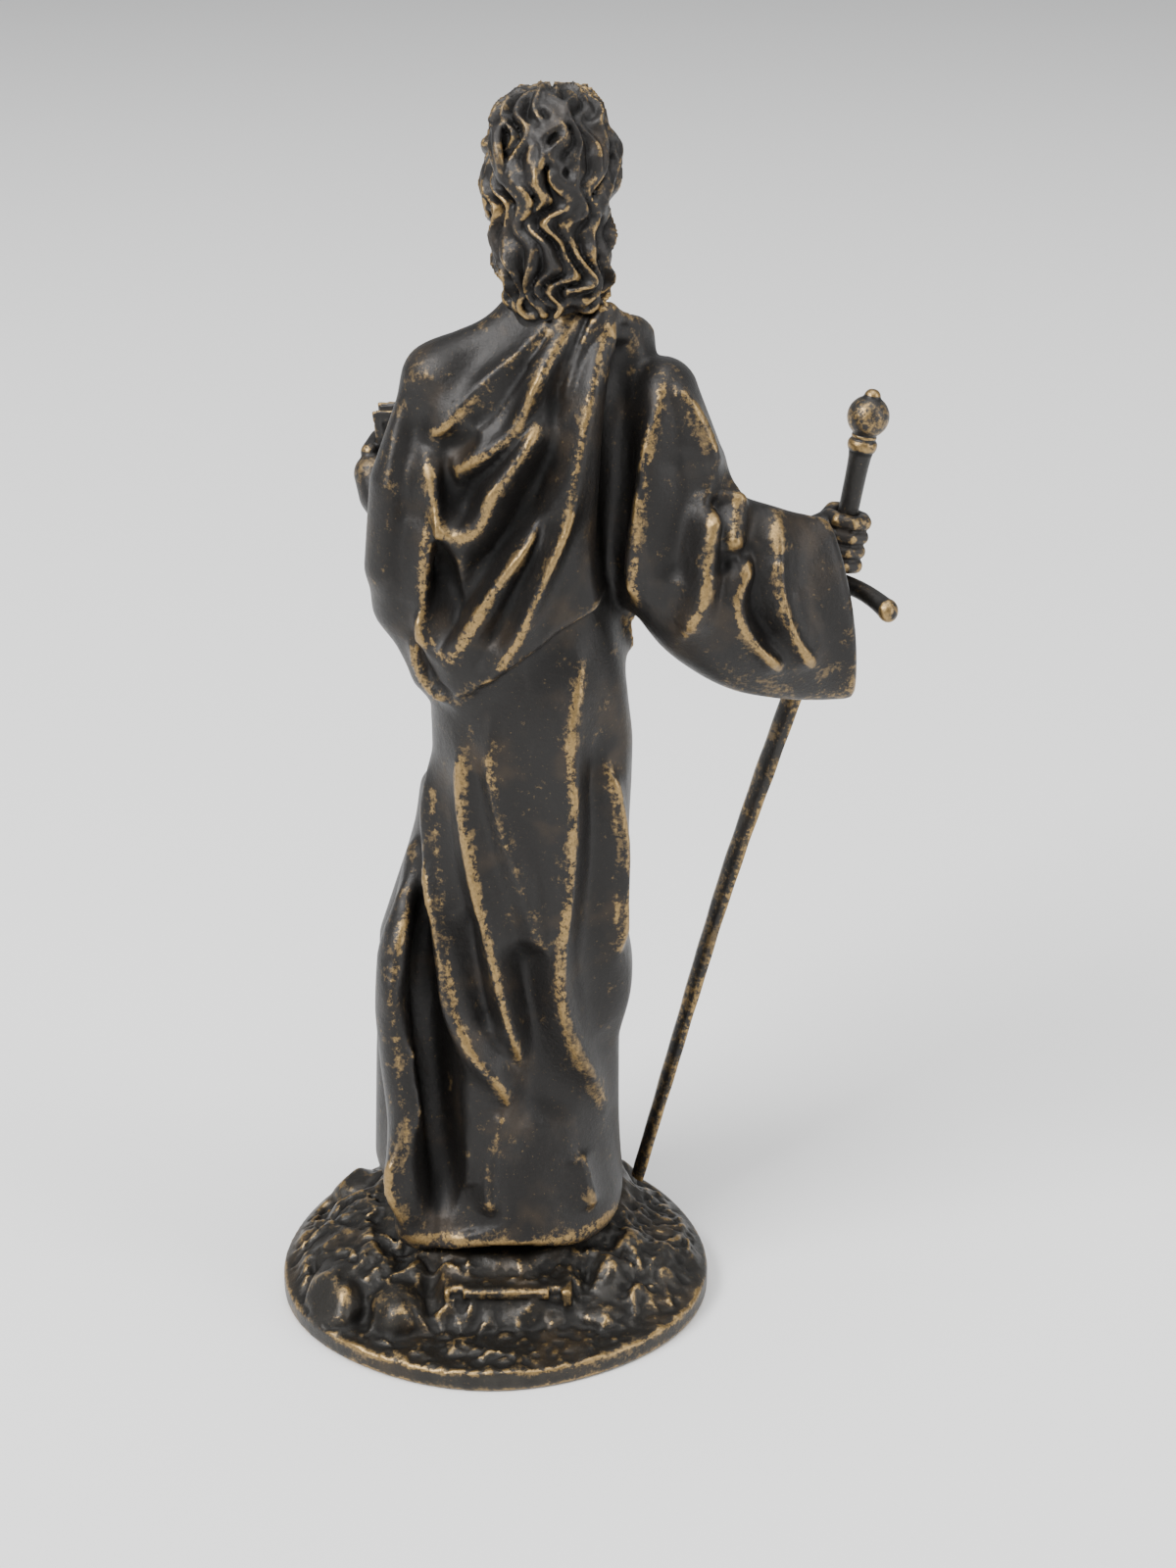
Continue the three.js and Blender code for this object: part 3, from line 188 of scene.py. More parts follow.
# Distance to a closed outline in a plane, negative inside it.
def inside_outline(x, z, outline):
    nearest = np.full(len(x), np.inf)
    inside = np.zeros(len(x), bool)
    for (ax, az), (bx, bz) in zip(outline, outline[1:] + outline[:1]):
        dx, dz = bx - ax, bz - az
        t = np.clip(((x - ax) * dx + (z - az) * dz) / (dx * dx + dz * dz), 0, 1)
        nearest = np.minimum(nearest, np.hypot(x - ax - t * dx, z - az - t * dz))
        if bz != az:
            inside ^= ((az > z) != (bz > z)) & (x < ax + (z - az) * dx / dz)
    return np.where(inside, -nearest, nearest)


# Adds forms, each with its blend, to a field.
def blend(d, p, forms):
    for form, k in forms:
        d = join(d, form(p), k)
    return d


# The same for small forms, worked out only where they can matter.
def add(d, p, forms, near=1.0):
    for form, k in forms:
        close = np.all((p > form.low - k - near) & (p < form.high + k + near), axis=1)
        d[close] = join(d[close], form(p[close]), k)
    return d


FAR = 99.0
WIDE_FIELD = 4.0


def empty(p):
    return np.full(len(p), FAR)


# A closed skin round the clay: a vertex in each grid cell and a quad for each grid edge that the surface
# crosses. The field is worked out only in the blocks of the grid near it.
BLOCK = 6


def sculpt(form, low, high, step, reach):
    lines = [np.arange(a, b + step, step) for a, b in zip(low, high)]
    cells = [(len(line) - 1) // BLOCK + 1 for line in lines]
    shape = [n * BLOCK + 1 for n in cells]
    lines = [a + step * np.arange(n) for a, n in zip(low, shape)]
    middles = [line[BLOCK // 2 :: BLOCK][:n] for line, n in zip(lines, cells)]
    grid = np.stack(np.meshgrid(*middles, indexing="ij"), -1).reshape(-1, 3)
    coarse = form(grid)
    near = np.abs(coarse) < step * BLOCK * 0.9 + reach
    values = np.where(coarse < 0, -FAR, FAR).reshape(cells)
    for axis in range(3):
        values = values.repeat(BLOCK, axis)
    values = np.pad(values, [(0, 1)] * 3, mode="edge")
    wanted = np.zeros(shape, bool)
    blocks = np.argwhere(near.reshape(cells)) * BLOCK
    for corner in np.ndindex(*[BLOCK + 1] * 3):
        wanted[tuple((blocks + corner).T)] = True
    at = np.argwhere(wanted)
    values[wanted] = form(np.stack([lines[axis][at[:, axis]] for axis in range(3)], 1))
    for axis in range(3):
        ends = np.moveaxis(values, axis, 0)
        ends[0], ends[-1] = FAR, FAR
    return skin_of(values, lines)


def skin_of(values, lines):
    inside = values < 0
    corners = [(i, j, k) for i in (0, 1) for j in (0, 1) for k in (0, 1)]

    def shifted(array, c):
        return array[tuple(slice(c[a], values.shape[a] - 1 + c[a]) for a in range(3))]

    full = sum(shifted(inside, c).astype(np.int8) for c in corners)
    mixed = (full > 0) & (full < 8)
    cells = np.argwhere(mixed)
    number = np.full(mixed.shape, -1, np.int64)
    number[mixed] = np.arange(len(cells))
    total = np.zeros((len(cells), 3))
    count = np.zeros(len(cells))
    for a in corners:
        for axis in range(3):
            if a[axis]:
                continue
            b = tuple(1 if n == axis else a[n] for n in range(3))
            va = shifted(values, a)[mixed]
            vb = shifted(values, b)[mixed]
            crossed = (va < 0) != (vb < 0)
            t = np.where(crossed, va / np.where(crossed, va - vb, 1), 0)
            place = np.stack([lines[n][cells[:, n] + a[n]] for n in range(3)], 1)
            ahead = lines[axis][cells[:, axis] + 1] - lines[axis][cells[:, axis]]
            place[:, axis] += t * ahead
            total += place * crossed[:, None]
            count += crossed
    vertices = total / count[:, None]
    quads = []
    for axis in range(3):
        u, v = (axis + 1) % 3, (axis + 2) % 3
        crossing = np.argwhere(np.diff(inside, axis=axis))
        outward = inside[tuple(crossing.T)]
        ring = []
        for du, dv in ((1, 1), (0, 1), (0, 0), (1, 0)):
            cell = crossing.copy()
            cell[:, u] -= du
            cell[:, v] -= dv
            ring.append(number[tuple(cell.T)])
        ring = np.stack(ring, 1)
        ring[~outward] = ring[~outward][:, ::-1]
        quads.append(ring)
    return vertices, np.concatenate(quads)


# The robed body, from the hem to the neck.
TRUNK = [
    [12, -1, 2, 27, 24], [20, -0.5, 1.5, 28.8, 25.5], [30, 0, 1, 27, 23],
    [42, 0.5, 1, 25, 20], [55, 0.5, 1, 24.5, 18.5], [75, -2, 1, 25, 17.5],
    [90, -4.5, 1, 23.5, 17], [105, -7, 1.5, 22, 16], [125, -8, 2, 22.6, 16],
    [143, -7.5, 2.5, 23, 16.5], [160, -6.5, 2, 21.5, 15], [178, -7, 1.5, 20.5, 14],
    [195, -10, 1.5, 23, 13.5], [207, -12, 1.5, 23.5, 12], [216, -12.3, 1, 21, 10.5],
    [222, -12.5, 0.5, 15.5, 9.5], [231, -12.5, 0, 10, 8.5],
]

# The wide right sleeve, along -x.
SLEEVE = [
    [26, 4, 178, 9, 12], [34, 5, 174.5, 11.5, 20], [42, 5.5, 170.5, 12.5, 22.5],
    [50, 4.5, 167, 12, 23.5], [58, 2.5, 164, 11, 23], [66, 0, 162, 10.5, 22.6],
    [73, -1.5, 160.5, 9.8, 21.5], [79, -2, 151, 8.5, 11.5],
]
SLEEVE_WALL = 1.8
FOLD_ROOM = 2.4
MOUTH_POINT = np.array([-71.5, -1.5, 184.0])
MOUTH_OUTWARD = np.array([-0.916, -0.34, 0.21])

# The outline of the gathered cloak on the back, as x and z.
CLOAK_ON_BACK = [
    (-24, 230), (-14, 225), (-7, 218), (-1, 213), (7, 206), (13, 200), (15, 188), (16, 172), (17, 160),
    (14, 149), (8, 145), (3, 147.5), (-4, 154.5), (-14, 160), (-27, 166), (-27, 185), (-25, 210),
]

trunk = loft("z", TRUNK)
sleeve = loft("x", SLEEVE)
sleeve_hollow = loft("x", SLEEVE, SLEEVE_WALL + FOLD_ROOM)

# What joins the trunk, each with its blend: shoulders, arms, legs under the robe, the long fold at the left
# of the back and the collar roll. The valley is cut in beside the long fold.
BODY_FORMS = [
    (egg([-12.3, 1.5, 206], [26.5, 11, 11.5]), 5),
    (limb([9.5, 1, 210.5, 10.6], [17, 4, 190, 10.6], [19, 4, 173, 10.2], [18, 1, 165, 9.6]), 2.5),
    (limb([18, 2, 169, 8.4], [19.5, -8, 173, 7.6], [20.5, -15, 179, 6.4]), 2),
    (limb([17.5, 0, 163, 9.4], [12, 1.5, 151, 8.6]), 4),
    (limb([-6, 1, 222, 6.5], [4, 1, 217, 7.4], [11, 1, 212, 8.4]), 4),
    (limb([-34.5, 1.5, 208.4, 10], [-38, 4, 193, 12.5], [-41, 5.5, 178, 13.5]), 2.5),
    (limb([2, -3, 130, 13], [11.5, -10, 100, 12], [17.6, -13.5, 79, 12.6], [18.6, -13, 50, 13.2],
           [18.6, -11, 26, 14]), 6),
    (limb([-15, 0, 132, 14], [-17, -3, 84, 12], [-16, -5, 26, 13]), 6),
    (egg([-19.5, -3, 76], [12.4, 14, 22]), 2),
    (limb([16, -4, 108, 3], [20.5, 3, 95, 4.4], [22.4, 6.3, 84, 5.4], [22.8, 7.5, 72, 6],
           [21.6, 9, 60, 6.4], [20, 11, 46, 6.8], [18.3, 13.5, 33, 7.6], [17.6, 15, 20, 8.6]), 2),
    (limb([17, -3, 104, 6], [19.3, -1, 84, 8.4], [19.3, 1, 62, 8.6], [18.3, 4, 42, 8.4],
           [17, 7, 24, 9]), 2),
    (limb([-27, 2, 206, 8], [-27, 3, 186, 8.6], [-28, 3.5, 174, 8.4], [-30, 4, 167, 7]), 3),
    (limb([-22, 9, 227, 3], [-27, 4, 224.5, 3.8], [-31, -3, 220, 4], [-32, -9, 212, 3.6]), 2.5),
    (limb([-19, 5, 222.5, 5], [-26, 3, 220.5, 5.2], [-30, -2, 216, 5]), 2),
]
VALLEY = limb([17.5, 17, 94, 3], [17, 17, 80, 5], [16, 17.5, 64, 6], [14.6, 20, 49, 5.4],
               [13.6, 23, 36, 3.8], [13.2, 26, 26, 2])
CREST_ALLOWANCE = 2.3
CLOAK_THICKNESS = 3.3


def smooth_body(p):
    d = trim(blend(trunk(p), p, BODY_FORMS), -VALLEY(p), 2)
    past_mouth = (p - MOUTH_POINT) @ MOUTH_OUTWARD
    d = join(d, trim(sleeve(p), past_mouth, 3), 3)
    gathered = np.maximum(inside_outline(p[:, 0], p[:, 2], CLOAK_ON_BACK), 2 - p[:, 1])
    return join(d, trim(trunk(p) - CLOAK_THICKNESS, gathered, 2), 1) + CREST_ALLOWANCE


# Folds: crests (raised) and hollows (sunk) of the cloth. A row has the height, the reach to each side, and
# x and z by turns along the fold, as seen from behind or from the front.
BACK_FOLDS = [
    (2.9, 5, -23, 229, -14, 225, -7, 218, -1, 213, 3, 210, 7, 206, 12, 202),
    (2.9, 5, -21, 228, -18, 226, -14, 221, -11, 216, -8, 210, -5, 204, 1, 199, 6, 196),
    (3.6, 6, -24, 227, -21, 216, -18, 202, -15, 187, -12, 179, -9, 171, -5, 161, 0, 154),
    (3.2, 5.5, -10, 207, -8, 202, -4, 196, -1, 192, 2, 185, 6, 182, 10, 184, 12, 190, 13, 198),
    (3, 5, 12, 188, 14, 180, 14.5, 170, 13, 161, 9.5, 156, 6, 160, 2, 167, -3, 175, -10, 185),
    (1.8, 3, 17, 160, 14, 150, 8, 146, 3, 149, -4, 156),
    (1.3, 2.4, -23, 227, -19, 222, -17, 217, -15, 210),
    (1.2, 2.4, -22, 229, -17, 225.5, -12, 220, -8, 215),
    (-3.2, 4.2, 11.5, 179, 11, 171, 8.5, 165, 4.5, 168, 0, 176, -5, 185, -9, 194, -13, 203),
    (-2.9, 3.8, 11, 195, 9.5, 189, 6, 187.5, 2, 192.5, -2, 199, -6, 206, -10, 213),
    (-2.6, 4.5, -1, 158, -6, 166, -10, 176, -13, 188),
    (-1.2, 2.6, 4, 205, -2, 209, -8, 216, -14, 221.5),
    (-1.5, 2.6, -9, 201, -12.5, 209, -16, 217, -20, 225),
    (-1.6, 3.6, 12, 201, 11, 203, 7, 202, 3, 199),
    (-2.6, 5, -25, 222, -25, 205, -25.5, 185, -27, 166),
    (-2.8, 4, 14.5, 208, 15, 196, 16, 180, 16, 168),
    (2.6, 6, -18, 154, -16, 141, -16, 122, -15, 105, -13, 84, -15, 69, -19, 57, -23, 46),
    (1.8, 5, 1, 141, 0, 129, -3, 114, -6, 104, -9, 92, -12, 87),
    (2.2, 5, 7, 135, 6, 120, 4, 105, 1, 88, -2, 74, -5, 62),
    (3, 5.5, 14, 125, 13, 107, 11, 88, 9, 74, 5, 65, 0, 59, -2, 52),
    (4.2, 6, 20, 95, 22, 87, 23, 75, 22, 61, 20.5, 49, 21.5, 37, 20.5, 23),
    (2, 5.5, -24, 131, -26, 113, -26, 98, -26, 84), (1.6, 5.5, -17, 38, -20, 25),
    (1.4, 5.5, -1, 52, 2, 38, 2, 27), (-3.4, 5, 17.5, 92, 17, 77, 16, 61, 15, 47, 14, 36, 13.5, 25),
    (-2.6, 6, 7, 98, 4.5, 82, 2, 70), (-3, 7, -5, 92, -8, 77, -9, 60, -8, 46),
    (-2, 6, -21, 140, -21, 112, -20, 88, -24, 66), (-1.6, 6, 9, 33, 6, 23),
]
SLEEVE_FOLDS = [
    (2.2, 5.5, -35, 217, -34, 209, -32, 199, -31, 189, -29, 176, -30, 166),
    (1.8, 5, -36, 212, -40, 207, -43, 201, -45, 195), (2.8, 4, -49, 193, -49.5, 188, -48.5, 179),
    (3.4, 4.5, -45, 188, -44, 180, -43, 170, -40, 162),
    (2.6, 5.5, -58, 190, -58, 179, -58.5, 169, -62, 159, -67, 152),
    (2.2, 4.5, -53, 177, -50, 168, -53, 160, -60, 152), (1.2, 3.5, -62, 170, -63, 163, -67, 157),
    (-3, 4, -47, 190, -46.5, 182, -45.5, 174), (-2.6, 5, -55, 180, -54.5, 168, -58, 158),
    (-2.2, 5, -38, 200, -39, 186, -38, 172),
]
FRONT_FOLDS = [
    (2.4, 6, -36, 212, -42, 196, -48, 182, -58, 172),
    (2.4, 6, -34, 186, -42, 170, -54, 158, -66, 152), (2, 5, -34, 170, -44, 158, -56, 148),
    (-2.4, 6, -38, 196, -44, 180, -54, 166),
    (2.8, 6, -29, 222, -26, 205, -18, 190, -6, 180, 8, 174),
    (2.8, 6, -32, 214, -30, 196, -22, 180, -8, 168, 10, 163),
    (2.6, 6, -31, 190, -26, 172, -14, 158, 2, 152, 14, 154),
    (2.6, 6, -30, 168, -24, 150, -10, 140, 6, 139, 16, 146),
    (-2.4, 6, -28, 208, -22, 194, -12, 184, 2, 176),
    (-2.4, 6, -29, 190, -22, 174, -10, 163, 4, 159), (1.6, 4, -20, 219, -14, 209, -8, 212, -2, 218),
    (1.4, 4.5, 2, 214, 4, 202, 2, 190), (3, 7, 14, 142, 4, 122, -8, 100, -18, 82, -25, 66),
    (2.8, 7, -2, 134, -12, 112, -20, 94, -27, 80),
    (2.6, 6, 18, 132, 14, 112, 6, 92, -6, 72, -16, 58), (-3, 7, 6, 130, -4, 110, -14, 92, -22, 78),
    (2.6, 6, 20, 84, 20, 66, 21, 46, 23, 26), (2.4, 5.5, 12, 82, 9, 64, 10, 44, 11, 24),
    (-4, 7, 3, 76, 1, 58, 1, 40, 1, 22), (2.4, 5.5, -6, 58, -6, 42, -7, 22),
    (2.4, 5.5, -15, 54, -16, 40, -18, 22), (-2.4, 5, -11, 54, -11, 40, -12, 22),
    (2.2, 5.5, 25, 160, 24, 140, 22, 118, 23, 98),
]

# How a fold is laid on the cloth from outside it: its points, their way inwards and the fade at its ends.
REACH_OF_CLOTH = 45.0
FARTHEST_IN = -10.0
LAYING_STEPS = 60
SMOOTHING = 4
FOLD_STEP = 3.0
FOLD_FADE = 0.14

# The shape of crests and hollows, as shares of the height and the reach in the tables.
CREST_ROUND = 0.4
FLANK_POWER = 2.5
REACH_SHARE = 1.5
HEIGHT_SHARE = 1.5
DEPTH_SHARE = 1.4


def lay_fold(side, height, reach, *path):
    path = np.reshape(path, (-1, 2)).astype(float)
    lengths = np.concatenate([[0], np.cumsum(np.hypot(*np.diff(path, axis=0).T))])
    count = max(2, int(lengths[-1] / FOLD_STEP))
    flat = through(np.column_stack([lengths, path]))(np.linspace(0, lengths[-1], count + 1))
    points = np.column_stack([flat[:, 0], np.full(count + 1, side * REACH_OF_CLOTH), flat[:, 1]])
    moving = np.ones(count + 1, bool)
    for _ in range(LAYING_STEPS):
        d = smooth_body(points)
        moving &= (d > 0.05) & (side * points[:, 1] > FARTHEST_IN)
        if not moving.any():
            break
        points[moving, 1] -= side * np.maximum(d[moving] * 0.7, 0.1)
    points = points[smooth_body(points) < 1]
    for _ in range(SMOOTHING):
        points[1:-1, 1] = 0.5 * points[1:-1, 1] + 0.25 * (points[:-2, 1] + points[2:, 1])
    return height, reach, points


FOLDS = [lay_fold(1, *fold) for fold in BACK_FOLDS + SLEEVE_FOLDS]
FOLDS += [lay_fold(-1, *fold) for fold in FRONT_FOLDS]
FOLDS = [fold for fold in FOLDS if len(fold[2]) > 2]


# The points near a fold, their squared distance from its line, and how much of it is left towards its ends.
def near_fold(p, points, reach):
    low, high = points.min(0) - reach, points.max(0) + reach
    close = np.flatnonzero(np.all((p > low) & (p < high), axis=1))
    q = p[close]
    nearest = np.full(len(q), np.inf)
    along = np.zeros(len(q))
    for i, (a, b) in enumerate(zip(points, points[1:])):
        t, off = to_stretch(q, a, b)
        nearer = off < nearest
        nearest[nearer] = off[nearer]
        along[nearer] = (i + t[nearer]) / (len(points) - 1)
    return close, nearest, smoothstep(-0.6, 1, np.minimum(along, 1 - along) / FOLD_FADE)


# How far the folds lift the cloth at each point: narrow crests and hollows that fade out at both ends.
def lift_of_folds(p, skin):
    crests, hollows, ridge = np.zeros((3, len(p)))
    for height, reach, points in FOLDS:
        reach = reach * REACH_SHARE
        close, nearest, ends = near_fold(p, points, reach)
        if not len(close):
            continue
        across = np.sqrt(np.maximum(nearest - skin[close] ** 2, 0) + CREST_ROUND ** 2) - CREST_ROUND
        if height > 0:
            flank = np.maximum(1 - across / reach, 0) ** FLANK_POWER
            crests[close] += (height * HEIGHT_SHARE * flank * ends) ** 4
            ridge[close] = np.maximum(ridge[close], flank * ends)
        else:
            flank = np.maximum(1 - (across / reach) ** 2, 0) ** 2
            hollows[close] = np.maximum(hollows[close], -height * DEPTH_SHARE * flank * ends)
    return crests ** 0.25 - hollows * (1 - ridge)


# Where the cloth is rubbed, from 0 to 1: on edges, under the arm, and on the crests of folds, by the
# distance from a crest or by the place as seen from behind or from the front, where depth counts little.
CREST_WIDTH = 1.2
FULL_CREST = 2.4
BRIGHT_CREST = 2.2
DEPTH_LESS = np.array([1, 0.15, 1])
EDGE_WIDTH = 1.6
EDGE_WEAR = 0.85
UNDERARM_WEAR = 0.62
HEM_HEIGHT = 20.0


def on_crests(p):
    skin = smooth_body(p)
    share = np.zeros(len(p))
    for height, _, points in FOLDS:
        if height < 0:
            continue
        width = CREST_WIDTH * min(height / FULL_CREST, 1)
        bright = min(1, (height / BRIGHT_CREST) ** 2)
        reach = CREST_WIDTH * 3 + height * HEIGHT_SHARE
        for scale, lift in ((1, skin), (DEPTH_LESS, 0 * skin)):
            close, nearest, ends = near_fold(p * scale, points * scale, reach)
            across = np.sqrt(np.maximum(nearest - lift[close] ** 2, 0)) / width
            shown = np.minimum(1, 1.7 * ends) * bright
            share[close] = np.maximum(share[close], np.exp(-across ** 2) * shown)
    x, y, z = p.T
    hem_edge = np.exp(-((z - HEM_HEIGHT - 0.8) / EDGE_WIDTH) ** 2) * smoothstep(0, 8, y)
    from_mouth = (p - MOUTH_POINT) @ MOUTH_OUTWARD
    mouth_edge = np.exp(-(from_mouth / EDGE_WIDTH) ** 2) * (np.abs(skin) < 4) * (x < -60)
    underarm = UNDERARM_WEAR * smoothstep(-158, -144, -z) * smoothstep(36, 44, -x) * (x < -36)
    return np.maximum.reduce([share, EDGE_WEAR * hem_edge, EDGE_WEAR * mouth_edge, underarm])


# In the hair only some strands are rubbed bright, for a part of their length.
def hair_wear(p):
    x, y, z = p.T
    chosen = smoothstep(0.42, 0.62, hills((x + y) / 5.5 + 3, z / 9.5))
    inside = smoothstep(226, 234, z) * smoothstep(-6, 2, y)
    return 1 - inside * (0.62 - 0.72 * chosen)


inner_skirt = egg([-1, -3, 24], [22, 19, 12])


def clothed_body(p):
    skin = smooth_body(p)
    d = skin.copy()
    close = np.abs(skin) < 7
    d[close] -= lift_of_folds(p[close], skin[close])
    hollow = np.maximum(np.maximum(sleeve_hollow(p), p[:, 0] + 60), d + SLEEVE_WALL)
    d = trim(d, -hollow, 0.8)
    x, y, z = p.T
    hem = HEM_HEIGHT - 1.2 + 1.6 * np.cos(x * 0.16 + 0.4) * np.clip(y / 20, 0, 1)
    d = trim(d, hem - z, 1.2)
    d = join(d, inner_skirt(p), 1)
    return trim(d, LAYOUT_GROUND - z, 0.3)


# Feet that show under the front hem, with five toes each and two straps.
def foot_forms(heel, ball, toe):
    heel, ball, toe = (np.array(v, float) for v in (heel, ball, toe))
    line = toe - heel
    side = np.array([line[1], -line[0], 0]) / np.hypot(line[0], line[1])
    forms = [(limb([*heel, 5.4], [*ball, 4.6], [*(ball + (toe - ball) * 0.6), 3.6]), 1)]
    for i in range(5):
        spread = (i - 2) * 1.55
        start = ball + side * spread * 0.8
        reach = 1 - 0.07 * abs(i - 1.2)
        end = ball + (toe - ball) * reach + side * spread
        joint, tip = end + [0, 0, 0.4], end - [0, 0, 0.5]
        forms.append((limb([*start, 1.6], [*joint, 1.25], [*tip, 1.1]), 0.5))
    for share in (0.25, 0.7):
        middle = heel + (ball - heel) * (0.5 + share * 0.6)
        arc = []
        for step in range(9):
            angle = pi * step / 8
            arc.append([*(middle + side * 5 * cos(angle) + [0, 0, 5.2 * sin(angle) - 0.6]), 0.7])
        forms.append((limb(*arc), 0.3))
    return forms


FEET = foot_forms([-13.5, -12, 21], [-16.5, -26, 20], [-18.5, -36, 18.4])
FEET += foot_forms([16.5, -12, 21], [19.5, -28.5, 20], [21.2, -38.6, 18.4])


def feet(p):
    return trim(add(empty(p), p, FEET, WIDE_FIELD), LAYOUT_GROUND - p[:, 2], 0.3)


# The head has a frame of its own: a towards the figure's left, b forward, c up.
HEAD_CENTRE = np.array([-12.5, -0.5, 249.0])
HEAD_TURN = radians(12)
HEAD_BOW = radians(6)
SKULL = np.array([11.5, 13.4, 14.0])
SKULL_MIDDLE = np.array([0, -1.5, 3.5])


def to_head(p):
    q = p - HEAD_CENTRE
    a = q[:, 0] * cos(HEAD_TURN) - q[:, 1] * sin(HEAD_TURN)
    forward = -q[:, 0] * sin(HEAD_TURN) - q[:, 1] * cos(HEAD_TURN)
    b = forward * cos(HEAD_BOW) - q[:, 2] * sin(HEAD_BOW)
    c = forward * sin(HEAD_BOW) + q[:, 2] * cos(HEAD_BOW)
    return np.column_stack([a, b, c])


# Small numbers from 0 to 1 that stand in for chance, the same in every run.
def chance(n):
    s = sin(n * 127.1 + 11.7) * 43758.5453
    return s - math.floor(s)


def mirrored(form):
    def both(p):
        return form(np.abs(p) * [1, 0, 0] + p * [0, 1, 1])

    both.low = form.low.copy()
    both.high = form.high.copy()
    both.low[0] = -both.high[0]
    return both


HAIR_MASSES = [
    (egg([0, -1.5, 5.4], SKULL + [1.3, 0.6, 2.2]), 1),
    (egg([-0.2, -4.2, -8], [11.6, 9.8, 12]), 4),
    (egg([-2.4, -3.6, -15], [10.6, 8.8, 9]), 3),
]
FACE_FORMS = [
    (egg([0, 3.8, -4], [9.2, 9.6, 13]), 3),
    (egg([0, 7, -12.5], [6.2, 6, 5.6]), 3),
    (egg([0, 6.5, -18], [8, 6, 8]), 3),
    (limb([0, 12.4, 3.2, 1], [0, 14.6, -3.4, 1.4]), 1.4),
    (egg([0, 15, -4.2], [1.6, 1.6, 1.4]), 1),
    (mirrored(egg([1.7, 13.5, -4.9], [1.1, 1.4, 1])), 0.8),
    (mirrored(limb([1.5, 12.9, 3.4, 0.9], [5, 12, 4.2, 1], [7.8, 9.6, 2.6, 0.8])), 1.4),
    (mirrored(egg([5.6, 10.4, -4], [2.8, 2.4, 2.4])), 2.4),
]
EYE_HOLLOW = mirrored(egg([3.9, 13.9, 0.9], [2.7, 2.4, 1.8]))
EYE_FORMS = [
    (mirrored(egg([3.8, 10.7, 0.6], [2.1, 2, 1.6])), 0.3),
    (mirrored(limb([1.8, 12.2, 0.5, 0.35], [3.8, 13, 1.7, 0.45], [6, 11.4, 0.5, 0.35])), 0.4),
    (mirrored(limb([1.8, 12.2, 0.2, 0.3], [3.8, 12.8, -0.7, 0.35], [6, 11.4, 0.2, 0.3])), 0.4),
    (egg([0, 13.5, -9.6], [2.8, 1.3, 0.7]), 0.5),
    (egg([0, 13.3, -10.9], [2.3, 1.3, 0.8]), 0.5),
]


def on_skull(azimuth, polar, out):
    level = sin(polar)
    way = np.array([level * sin(azimuth), level * cos(azimuth), cos(polar)])
    return way * (SKULL + out) + SKULL_MIDDLE


# A lock of hair is two strands that lie side by side along one wavy line, one higher than the other.
STRANDS = 2


def lock(line, radius):
    line = np.array(line)
    steps = len(line)
    ahead = np.gradient(line, axis=0)
    outward = line - [0, -1.5, line[:, 2].mean() * 0.5]
    beside = np.cross(ahead, outward)
    beside /= np.maximum(np.linalg.norm(beside, axis=1), 1e-6)[:, None]
    outward /= np.linalg.norm(outward, axis=1)[:, None]
    strands = []
    for s in range(STRANDS):
        nodes = []
        for i in range(steps):
            t = i / (steps - 1)
            swell = radius * (0.45 + 0.75 * sin(pi * (0.12 + 0.82 * t)))
            offset = (s - 0.5) * swell * 1.15
            lift = 0.35 * swell * (s == 1)
            nodes.append([*(line[i] + beside[i] * offset + outward[i] * lift), swell * 0.6])
        strands.append(limb(*nodes))
    return strands


LOCK_STEPS = 16


def skull_lock(azimuth, start, end, wave, radius, seed):
    line = []
    for i in range(LOCK_STEPS + 1):
        t = i / LOCK_STEPS
        turns = 0.8 + 0.7 * chance(seed + 11)
        swing = wave * (0.5 + chance(seed + 13)) * sin(2 * pi * (t * turns + chance(seed)))
        polar = start + (end - start) * t
        raised = 0.2 + 2.2 * chance(seed + 0.5)
        out = -0.2 + raised * sin(pi * t) ** 0.6 + CROWN_LIFT * max(cos(polar), 0)
        line.append(on_skull(azimuth + swing, polar, out))
    return lock(line, radius)


# Wavy strands over the whole head of hair: how far the hair stands out at each point. The strands run down
# from the crown and swing from side to side; each has its own strength along its length.
HAIR_STRANDS = 20
STRAND_HEIGHT = 1.9
CLUMP_HEIGHT = 0.7
HAIR_SINK = 1.2
HAIR_LEAN = -2.2


